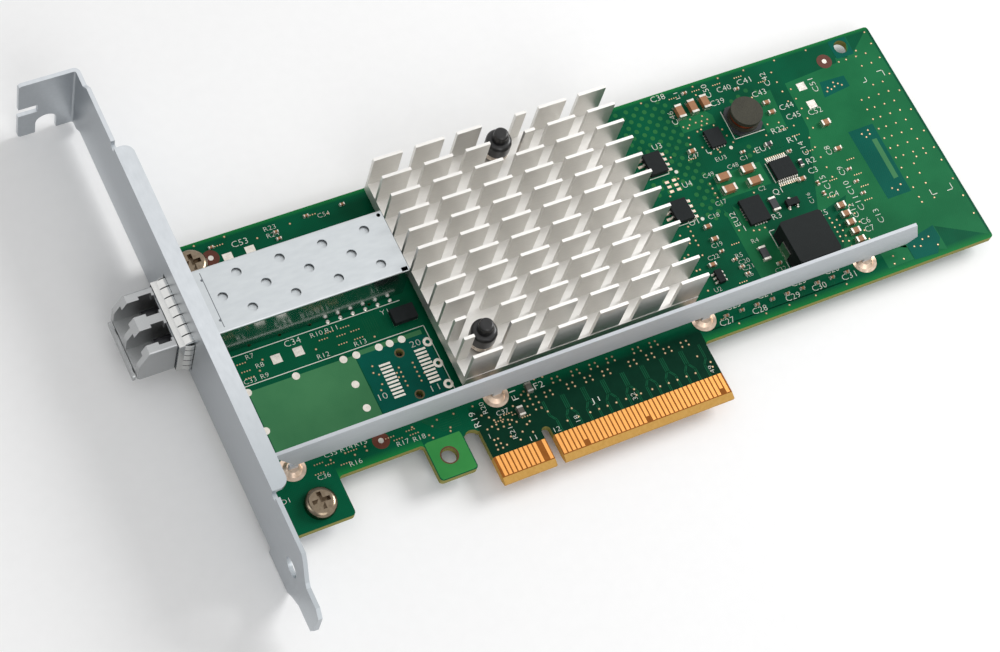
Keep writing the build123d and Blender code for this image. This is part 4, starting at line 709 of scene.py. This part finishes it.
LOOSE = (
    (105.1, 64.1), (94.2, 67.9), (86.1, 67.9), (99.8, 27.1), (82.2, 51.9), (86.1, 60.2),
    (1.3, 11.9), (2.1, 10.8), (6.9, 9.7), (36.2, 10.8), (20.6, 8.9), (38.2, 8.7), (-11.4, 17.1),
    (-10.6, 14.7), (-9.4, 13.8), (-15.6, 17.0), (-19.2, 17.0), (-17.4, 14.6), (-17.7, 13.9),
    (-22.0, 14.6), (-21.5, 13.8), (-8.7, 12.9), (-8.7, 11.9), (-9.7, 11.8), (-10.8, 11.6),
    (-8.8, 10.9), (-7.5, 11.0), (-7.3, 13.0), (-7.3, 12.0), (-6.1, 12.0), (-5.4, 11.7),
    (-6.2, 11.0), (-4.7, 11.0), (-9.7, 9.1), (-10.5, 9.1), (-10.6, 8.0), (-9.6, 8.0), (-9.6, 7.0),
    (-10.7, 7.0), (-8.6, 7.3), (-1.3, 15.9), (-0.5, 16.4), (-1.3, 14.5), (0.0, 15.3), (0.0, 14.5),
    (-1.2, 13.2), (1.3, 14.5), (0.0, 13.2), (1.3, 13.2), (1.3, 12.0), (0.1, 12.0), (-2.2, 10.2),
    (-3.0, 9.8), (-4.5, 8.7), (-2.6, 7.9), (-5.6, 7.3), (-7.1, 8.6), (-3.9, 14.3), (2.6, 18.0),
    (4.4, 17.9), (45.9, 36.6), (45.2, 35.5), (47.0, 34.3), (44.3, 31.6), (45.4, 32.0), (45.3, 28.1),
    (46.1, 28.1), (45.4, 23.2), (48.2, 30.9), (48.0, 14.3), (54.5, 14.3), (60.1, 14.3),
    (66.5, 14.3), (74.1, 14.3), (58.4, 33.4), (61.4, 32.3), (62.6, 32.0), (64.0, 32.1),
    (52.9, 67.9), (61.2, 60.8), (62.0, 59.7), (64.1, 60.7), (64.8, 59.6), (62.9, 58.7),
    (60.4, 59.6), (58.9, 59.6), (59.7, 59.0), (63.4, 59.6), (64.2, 58.7), (65.4, 57.8),
    (61.3, 57.6), (62.3, 57.8), (66.7, 56.3), (58.8, 56.9), (58.3, 55.3), (60.5, 53.8),
    (61.5, 51.8), (63.4, 52.2), (63.6, 51.5), (65.6, 67.9), (71.9, 68.0), (63.4, 66.6),
    (65.3, 65.8), (78.3, 67.9), (75.2, 51.8), (76.8, 54.1), (79.4, 53.7), (66.9, 54.6),
    (67.5, 52.7), (66.5, 51.6), (70.7, 49.1), (57.8, 45.4), (57.8, 44.2), (57.8, 43.0),
    (57.8, 41.9), (65.8, 40.3), (52.8, 53.9), (51.9, 48.8), (51.1, 47.6), (51.2, 46.3),
    (48.3, 45.6), (76.8, 61.2), (-35.0, 39.1), (-23.1, 37.6), (-26.2, 31.9), (-26.6, 30.5),
    (-25.7, 29.8), (-26.0, 27.7), (-26.7, 26.6), (-22.3, 28.9), (-22.3, 27.9), (-17.2, 27.0),
    (-45.6, 40.7), (-47.0, 38.7), (-38.7, 17.0), (-34.6, 16.9), (-34.6, 16.0), (-37.1, 16.0),
    (-24.4, 17.3), (-20.6, 16.1), (-41.9, 16.7), (-48.4, 68.2), (-42.0, 68.1), (-20.5, 66.0),
    (-28.6, 66.4), (-36.0, 65.6), (95.6, 45.0), (97.4, 45.4), (96.2, 44.0), (97.3, 44.4),
    (95.2, 31.0), (97.5, 31.2), (96.2, 30.2), (93.6, 57.0), (94.8, 57.2), (95.8, 57.6),
    (96.9, 58.0), (94.2, 57.8), (96.0, 58.6), (97.6, 57.4), (92.6, 17.0), (95.2, 17.9),
    (96.8, 18.0), (94.0, 16.6), (97.8, 15.6), (87.0, 16.6), (88.9, 15.2), (86.4, 14.9),
)
places += LOOSE
print("vias:", len(places))

# %% [markdown]
# Small groups of empty lands stand beside many of the loose vias: four tiny tinned dots in a row,
# for parts that this card does without. One group is a short loop.

# %% Vias and empty lands
LAND_ROWS = (
    (59.2, 66.7), (64.9, 66.8), (70.0, 66.7), (75.4, 66.8), (-44.6, 66.7), (-24.6, 66.8),
    (78.9, 51.9), (80.0, 64.0), (55.3, 30.9), (44.9, 16.4), (-50.6, 41.3), (-50.4, 39.5),
    (-50.2, 38.0), (-33.6, 40.6), (-31.9, 41.6), (-30.0, 40.2), (-28.6, 41.6), (-27.0, 40.2),
    (-30.4, 38.4), (-27.0, 38.4), (-45.2, 16.8), (-43.2, 16.0), (-45.8, 14.9), (-40.4, 15.0),
    (-38.0, 17.0), (-30.2, 16.9), (-28.8, 16.0), (-25.8, 16.9), (-25.4, 15.9), (-8.6, 12.4),
    (-6.4, 13.2), (-4.8, 12.6), (-3.2, 11.4), (56.2, 52.0), (80.6, 49.6), (81.5, 45.2),
    (83.0, 37.2), (80.6, 33.8), (89.2, 40.4), (88.9, 36.6), (88.9, 33.6), (88.0, 30.4),
    (52.6, 22.4),
)
LAND_STEP, LAND_COUNT = 0.55, 4
VIA_RING_R, VIA_R, LAND_RING_R, LAND_R = 0.26, 0.17, 0.18, 0.13
RING_HIGH, TIN_HIGH, VIA_CLEAR, LAND_CLEAR = 0.022, 0.034, 0.25, 0.2
bm_halo, bm_tin = bmesh.new(), bmesh.new()
for x, y in places:
    if clear_of(x, y, VIA_CLEAR, top_boxes):
        disc(bm_halo, x, y, VIA_RING_R, TOP, RING_HIGH, 10)
        disc(bm_tin, x, y, VIA_R, TOP, TIN_HIGH, 8)
for x, y in LAND_ROWS:
    for i in range(LAND_COUNT):
        land_x = x + LAND_STEP * i
        if clear_of(land_x, y, LAND_CLEAR, top_boxes):
            disc(bm_halo, land_x, y, LAND_RING_R, TOP, RING_HIGH, 8)
            disc(bm_tin, land_x, y, LAND_R, TOP, TIN_HIGH, 8)
finish_piece("via_rings", bm_halo, via_halo)
finish_piece("via_dots", bm_tin, via_tin)
bm = bmesh.new()
for x, y in places:
    disc(bm, x, y, VIA_RING_R, UNDER - RING_HIGH, UNDER, 8)
finish_piece("via_dots_under", bm, pale_solder)

# %% [markdown]
# ## Traces
# Copper lines run under the lacquer, bundled in pairs: from the contacts up to the coupling
# capacitors, and from chip to chip. Each is a chain of thin bars with slanting corners.

# %% Traces
TRACE, FINE_TRACE, TRACE_HIGH = 0.16, 0.12, 0.006


def trace(bm, points, width=TRACE):
    """A trace through places on the board."""
    strip(bm, points, width, TOP, TRACE_HIGH)


bm = bmesh.new()
for i in range(16):
    x = 3.0 + 2.25 * i
    for side in (-0.17, 0.17):
        lean = 0.9 if i % 2 else -0.9
        end = x + side + lean
        trace(bm, [(x + side, 5.9), (x + side, 8.6), (end, 9.9), (end, 13.0)])
for i in range(9):
    x = 46.3 + 3.65 * i
    for side in (-0.3, 0.3):
        trace(bm, [(x + side, 15.9), (x + side - 0.8, 15.0), (x + side - 5.0, 15.0)])
for i in range(4):
    y = 51.2 + 1.27 * i
    trace(bm, [(51.4, y), (53.2, y), (54.4, y + 1.2), (57.6, y + 1.2)])
    trace(bm, [(51.4, y - 11.9), (53.4, y - 11.9), (54.2, y - 12.7), (56.6, y - 12.7)])
for i in range(8):
    x = 72.15 + 0.65 * i
    trace(bm, [(x, 46.4), (x, 47.4), (x + 0.7, 48.1), (x + 0.7, 50.2)], FINE_TRACE)
    trace(bm, [(x, 40.0), (x, 39.1), (x - 0.5, 38.6), (x - 0.5, 37.4)], FINE_TRACE)
for i in range(6):
    shift = 0.5 * i
    trace(bm, [(-26.0 + shift, 36.9), (-24.0 + shift, 38.9), (-24.0 + shift, 42.0)], FINE_TRACE)
    trace(bm, [(-15.0, 14.4 + shift), (-19.0, 14.4 + shift), (-22.0, 17.4 + 0.1 * i)], FINE_TRACE)
finish_piece("traces", bm, over_trace)

# %% [markdown]
# ## Lands and solder skirts under the chips
# Every end cap stands in a small slope of solder that creeps up its sides. The frame knows where
# each cap is, so the slope is made from the cap's own box: a cube as wide as the land, whose top
# is pulled in to the cap.

# %% Solder skirts
SKIRT_OUT, SKIRT_OUT_SHARE = 0.16, 0.3
SKIRT_UP, SKIRT_UP_SHARE = 0.45, 0.5
LEAD_SKIRT_OUT, LEAD_SKIRT_UP = 0.06, 0.09
SKIRT_LIP = 0.01


def skirt(bm, low, high, out, up):
    """A sloped collar of solder round a terminal's foot."""
    base = min(0.0, low.z)
    verts = bar(bm, low.x - out, high.x + out, low.y - out, high.y + out, base, base + up)
    middle = (low + high) / 2
    for vert in verts:
        if vert.co.z > base + up / 2:
            half_x = (high.x - low.x) / 2 + SKIRT_LIP
            half_y = (high.y - low.y) / 2 + SKIRT_LIP
            vert.co.x = middle.x + math.copysign(half_x, vert.co.x - middle.x)
            vert.co.y = middle.y + math.copysign(half_y, vert.co.y - middle.y)


TERMINALS = ("large_capacitor_ends", "medium_capacitor_ends", "small_capacitor_ends",
             "tiny_capacitor_ends", "ferrite_bead_ends", "resistor_ends", "power_choke_terminals")
bm = bmesh.new()
for name in TERMINALS:
    for low, high in lumps(name):
        tall = high.z - low.z
        skirt(bm, low, high, min(SKIRT_OUT, SKIRT_OUT_SHARE * tall),
              min(SKIRT_UP, SKIRT_UP_SHARE * tall))
for name in ("memory_chip_leads", "driver_chip_leads", "transistor_leads"):
    for low, high in lumps(name):
        skirt(bm, low, high, LEAD_SKIRT_OUT, LEAD_SKIRT_UP)
finish_piece("solder_skirts", bm, finishes["solder"])

# %% [markdown]
# Each gull-wing lead stands on a tinned land that runs out past its foot. The lead's own box says
# where, and the chip's middle says which way is out.

# %% Lands under the leads
LAND_HIGH, LAND_TOE = 0.028, 0.4
SMALL_LAND_XS, SMALL_LAND_Y, SMALL_LAND_STEP, SMALL_LAND_COUNT = (49.2, 50.9), 46.5, 1.15, 3
SMALL_LAND_HALF_X, SMALL_LAND_HALF_Y = 0.45, 0.3


def lead_lands(bm, leads, bodies, length, spare):
    """A land under each lead, length long, reaching out from the nearest body."""
    middles = [(low + high) / 2 for low, high in lumps(bodies)]
    for low, high in lumps(leads):
        foot = (low + high) / 2
        chip = min(middles, key=lambda middle: (middle - foot).length)
        along = 0 if high.x - low.x > high.y - low.y else 1
        out = 1 if foot[along] > chip[along] else -1
        toe = (high if out > 0 else low)[along] + out * LAND_TOE
        ends = sorted((toe, toe - out * length))
        side = 1 - along
        sides = (low[side] - spare, high[side] + spare)
        xs, ys = (ends, sides) if along == 0 else (sides, ends)
        bar(bm, *xs, *ys, TOP, LAND_HIGH)


bm = bmesh.new()
lead_lands(bm, "memory_chip_leads", "memory_chip_bodies", length=1.6, spare=0.1)
lead_lands(bm, "driver_chip_leads", "driver_chip_body", length=1.4, spare=0.03)
for x in SMALL_LAND_XS:
    for i in range(SMALL_LAND_COUNT):
        y = SMALL_LAND_Y + SMALL_LAND_STEP * i
        bar(bm, x - SMALL_LAND_HALF_X, x + SMALL_LAND_HALF_X, y - SMALL_LAND_HALF_Y,
            y + SMALL_LAND_HALF_Y, TOP, LAND_HIGH)
finish_piece("lead_lands", bm, pale_solder)

# %% [markdown]
# ## Targets for the placing machine
# Three bare metal dots in brown rings let a camera find the board.

# %% Targets
TARGETS = ((96.8, 64.0), (-46.3, 64.6), (-31.2, 16.9))
TARGET_R, TARGET_DOT_R, TARGET_HIGH, TARGET_DOT_HIGH = 1.75, 0.55, 0.024, 0.03
bm_ring, bm_dot = bmesh.new(), bmesh.new()
for x, y in TARGETS:
    ring(bm_ring, x, y, TARGET_R, TARGET_DOT_R, TOP, TARGET_HIGH)
    disc(bm_dot, x, y, TARGET_DOT_R, TOP, TARGET_DOT_HIGH, 20)
finish_piece("target_rings", bm_ring, brown_ring)
finish_piece("target_dots", bm_dot, finishes["tinned_metal"])

# %% [markdown]
# ## The printed legend
# White ink marks each part with a letter for its kind and a running number, draws outlines and
# dots the first pin. Blender's own font is turned to mesh at a low resolution, because each letter
# is a millimetre tall. The numbers here run in this card's own order.

# %% Printed lines
INK_HIGH, LINE, PIN_DOT_R = 0.030, 0.16, 0.42
PIN_DOTS = ((52.3, 50.4), (52.3, 38.5), (78.2, 46.6), (66.4, 51.7))
LINES = (
    [(68.4, 60.2), (68.2, 53.2), (75.5, 53.2)],
    [(64.4, 31.0), (64.4, 20.2), (65.4, 20.2)],
    [(64.4, 31.0), (65.6, 31.0)],
    [(-53.4, 36.5), (-13.0, 36.5), (-13.0, 20.6)],
    [(-53.4, 43.2), (-15.2, 43.2)],
    [(106.9, 57.8), (108.2, 57.8), (108.2, 56.4)],
    [(102.6, 56.3), (103.5, 56.3), (103.5, 57.3)],
    [(106.7, 26.3), (108.1, 26.3), (108.1, 27.7)],
    [(104.1, 26.5), (102.9, 26.5), (102.9, 27.8)],
    [(46.1, 50.55), (50.7, 50.55), (50.7, 50.8)],
    [(46.1, 38.65), (50.7, 38.65), (50.7, 38.9)],
    [(60.9, 52.1), (60.9, 53.0)], [(60.9, 52.1), (61.8, 52.1)],
    [(59.8, 32.9), (59.8, 34.0)], [(71.5, 40.8), (71.5, 45.6)],
)
bm = bmesh.new()
for points in LINES:
    strip(bm, points, LINE, TOP, INK_HIGH)
for x, y in PIN_DOTS:
    disc(bm, x, y, PIN_DOT_R, TOP, INK_HIGH, 14)
finish_piece("legend_lines", bm, legend_ink)

# %% [markdown]
# Lettering next. Each entry is a kind, a place, a direction and a size; the running number is
# added here. The pin numbers of the port and of the contacts are whole words of their own.

# %% Printed words
BIG, SMALL = 1.22, 0.93
ALONG, UP = 0, 90
SIZE_PER_PITCH, LETTER_GAP, THINNER = 1.62, 0.12, -0.03
WORDS = (
    ("EU", 70.9, 48.5, ALONG, BIG), ("R", 78.8, 48.4, ALONG, BIG), ("C", 66.8, 48.0, ALONG, SMALL),
    ("C", 67.0, 40.1, ALONG, SMALL), ("Q", 69.6, 38.2, ALONG, BIG), ("R", 80.3, 42.4, ALONG, BIG),
    ("C", 79.5, 40.1, ALONG, BIG), ("C", 81.0, 33.4, ALONG, BIG), ("C", 76.4, 30.2, ALONG, BIG),
    ("R", 66.5, 33.0, ALONG, BIG), ("R", 59.5, 29.6, ALONG, SMALL), ("C", 84.3, 25.4, ALONG, BIG),
    ("C", 84.3, 23.5, ALONG, BIG), ("C", 87.1, 42.7, UP, BIG), ("C", 87.3, 37.3, UP, BIG),
    ("C", 86.8, 32.5, UP, BIG), ("C", 87.0, 28.4, UP, BIG), ("C", 85.0, 27.3, UP, BIG),
    ("C", 89.6, 24.3, UP, BIG), ("C", 82.1, 44.4, UP, BIG), ("C", 82.5, 35.4, UP, BIG),
    ("C", 77.3, 33.6, UP, SMALL), ("C", 56.5, 40.1, ALONG, SMALL), ("C", 53.5, 37.8, ALONG, SMALL),
    ("C", 50.9, 31.5, ALONG, SMALL), ("U", 48.9, 37.8, ALONG, BIG), ("R", 54.6, 27.7, ALONG, SMALL),
    ("C", 54.5, 26.1, ALONG, SMALL), ("C", 54.6, 24.6, ALONG, SMALL),
    ("R", 54.6, 23.0, ALONG, SMALL), ("C", 48.8, 29.2, ALONG, SMALL),
    ("U", 46.6, 22.2, ALONG, SMALL), ("C", 46.8, 17.7, ALONG, BIG), ("C", 54.4, 17.7, ALONG, BIG),
    ("C", 62.6, 17.7, ALONG, BIG), ("C", 70.8, 17.7, ALONG, BIG), ("C", 44.0, 14.9, ALONG, BIG),
    ("C", 51.8, 14.9, ALONG, BIG), ("C", 59.9, 15.1, ALONG, BIG), ("C", 66.4, 15.2, ALONG, BIG),
    ("C", 73.7, 15.2, ALONG, BIG), ("EU", 59.5, 34.2, UP, BIG), ("C", 61.0, 21.7, ALONG, SMALL),
    ("R", -48.6, 41.7, ALONG, SMALL), ("R", -47.5, 39.3, ALONG, SMALL),
    ("C", -51.0, 36.9, ALONG, SMALL), ("R", -47.5, 36.9, ALONG, SMALL),
    ("C", -40.5, 41.5, ALONG, BIG), ("R", -35.0, 41.6, ALONG, SMALL),
    ("R", -31.9, 41.6, ALONG, SMALL), ("R", -35.6, 36.9, ALONG, SMALL),
    ("R", -27.7, 36.9, ALONG, SMALL), ("C", -42.8, 17.4, ALONG, SMALL),
    ("R", -39.5, 17.4, ALONG, SMALL), ("R", -36.5, 17.4, ALONG, SMALL),
    ("R", -39.0, 14.0, ALONG, SMALL), ("C", -45.8, 13.6, ALONG, SMALL),
    ("R", -28.8, 14.5, ALONG, SMALL), ("R", -25.4, 14.3, ALONG, SMALL),
    ("D", -54.2, 11.5, ALONG, SMALL), ("R", -11.6, 12.5, UP, BIG), ("R", -9.1, 14.6, UP, SMALL),
    ("F", -2.0, 15.0, UP, BIG), ("C", -7.8, 13.4, ALONG, SMALL), ("F", 1.7, 15.9, ALONG, BIG),
    ("R", -5.9, 7.7, UP, SMALL), ("J", 11.3, 9.1, ALONG, SMALL), ("C", 55.1, 67.2, ALONG, BIG),
    ("L", 61.7, 66.0, UP, SMALL), ("C", 67.1, 62.0, ALONG, BIG), ("C", 70.1, 64.6, ALONG, BIG),
    ("C", 75.2, 64.8, ALONG, BIG), ("C", 82.5, 62.5, UP, BIG), ("C", 77.0, 61.0, ALONG, BIG),
    ("C", 81.2, 56.1, ALONG, BIG), ("C", 81.5, 53.5, ALONG, BIG), ("R", 76.6, 51.5, ALONG, BIG),
    ("C", 58.5, 60.5, UP, BIG), ("U", 50.0, 56.6, ALONG, BIG), ("EU", 61.6, 49.6, ALONG, SMALL),
    ("C", 56.3, 52.1, ALONG, SMALL), ("C", 63.2, 47.1, ALONG, SMALL),
    ("C", 57.1, 46.9, ALONG, SMALL), ("U", 51.9, 46.3, ALONG, BIG), ("C", 68.6, 64.1, UP, BIG),
    ("C", 92.1, 57.6, UP, BIG), ("C", 86.7, 52.9, ALONG, BIG), ("C", -41.5, 65.2, ALONG, BIG),
    ("R", -34.2, 66.4, ALONG, SMALL), ("R", -34.2, 64.8, ALONG, SMALL),
    ("C", -22.8, 65.6, ALONG, SMALL), ("Y", -20.0, 41.4, ALONG, SMALL),
)
PIN_NUMBERS = (
    ("20", -17.4, 32.8, ALONG, BIG), ("10", -28.3, 24.6, ALONG, BIG),
    ("11", -18.0, 22.7, ALONG, BIG), ("1", -11.4, 9.6, ALONG, SMALL),
    ("11", -4.2, 6.2, ALONG, SMALL), ("12", 1.1, 6.2, ALONG, SMALL), ("18", 7.4, 6.3, UP, SMALL),
    ("32", 20.4, 6.6, UP, SMALL), ("49", 38.1, 6.3, UP, SMALL),
)


def numbered(entries):
    """Adds each kind's running number."""
    count = {}
    for kind, *rest in entries:
        count[kind] = count.get(kind, 0) + 1
        yield (f"{kind}{count[kind]}", *rest)


def lettering(bm, word, x, y, turn, pitch):
    """One printed word as mesh, its letters pitch millimetres apart."""
    curve = bpy.data.curves.new("word", "FONT")
    curve.body, curve.size, curve.resolution_u = word, pitch * SIZE_PER_PITCH, 2
    curve.offset = THINNER
    holder = bpy.data.objects.new("word", curve)
    flat = bpy.data.meshes.new_from_object(holder)
    wide = max(v.co.x for v in flat.vertices)
    squeeze = (len(word) - LETTER_GAP) * pitch / wide if len(word) > 1 else 1.0
    place = Matrix.Translation((x, y, INK_HIGH)) @ Matrix.Rotation(math.radians(turn), 4, "Z")
    flat.transform(place @ Matrix.Diagonal((squeeze, 1.0, 1.0, 1.0)))
    bm.from_mesh(flat)
    bpy.data.objects.remove(holder)
    bpy.data.curves.remove(curve)
    bpy.data.meshes.remove(flat)


bm = bmesh.new()
for entry in (*numbered(WORDS), *PIN_NUMBERS):
    lettering(bm, *entry)
finish_piece("legend_words", bm, legend_ink)

# %% [markdown]
# ## Trim on the cage
# The cage's lid is folded over its front frame: the shade in the fold is painted as a thin dark
# line of painted shadow between two small bosses of the same dark metal. Near its back, a row of
# round solder dots along each side wall's foot ties the sheet to ground.

# %% Cage trim
FOLD_LEFT, FOLD_RIGHT, FOLD_INSET, FOLD_HIGH, SUNK = -52.5, -52.35, 1.0, 0.012, 0.01
BOSS_X, BOSS_INSET, BOSS_R, BOSS_TOP_R, BOSS_HIGH = -52.6, 2.6, 0.32, 0.2, 0.02
cage_low, cage_high = (1000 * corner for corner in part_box("cage_cover"))
lid = cage_high.z
bm = bmesh.new()
bar(bm, FOLD_LEFT, FOLD_RIGHT, cage_low.y + FOLD_INSET, cage_high.y - FOLD_INSET, lid - SUNK,
    lid + FOLD_HIGH)
for y in (cage_low.y + BOSS_INSET, cage_high.y - BOSS_INSET):
    disc(bm, BOSS_X, y, BOSS_R, lid - SUNK, lid + BOSS_HIGH, 16, BOSS_TOP_R)
fold_shadow = metal("fold_shadow", paint(120, 124, 128), paint(96, 100, 104), 0.4, (1, 1, 1), 1.0)
finish_piece("cage_fold", bm, fold_shadow)

FOOT_DOT_X, FOOT_DOT_STEP, FOOT_DOT_COUNT, FOOT_DOT_OUT = -30.4, 2.7, 6, 0.6
FOOT_DOT_R, FOOT_DOT_TOP_R, FOOT_DOT_HIGH = 0.45, 0.3, 0.14
bm = bmesh.new()
for side, edge in ((-1, cage_low.y), (1, cage_high.y)):
    for i in range(FOOT_DOT_COUNT):
        disc(bm, FOOT_DOT_X + FOOT_DOT_STEP * i, edge + side * FOOT_DOT_OUT, FOOT_DOT_R, TOP,
             FOOT_DOT_HIGH, 14, FOOT_DOT_TOP_R)
finish_piece("cage_foot_solder", bm, finishes["solder"])

# %% [markdown]
# ## Finish
# The box of everything shown is measured again, and how far it has grown past the solids' box is
# printed. The visual model may not outgrow the solids.

# %% Print how far the box grew
new_low, new_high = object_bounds()
grown = (new_high - new_low) - (cad_high - cad_low)
print("grown by mm:", [round(value / MM, 3) for value in grown])
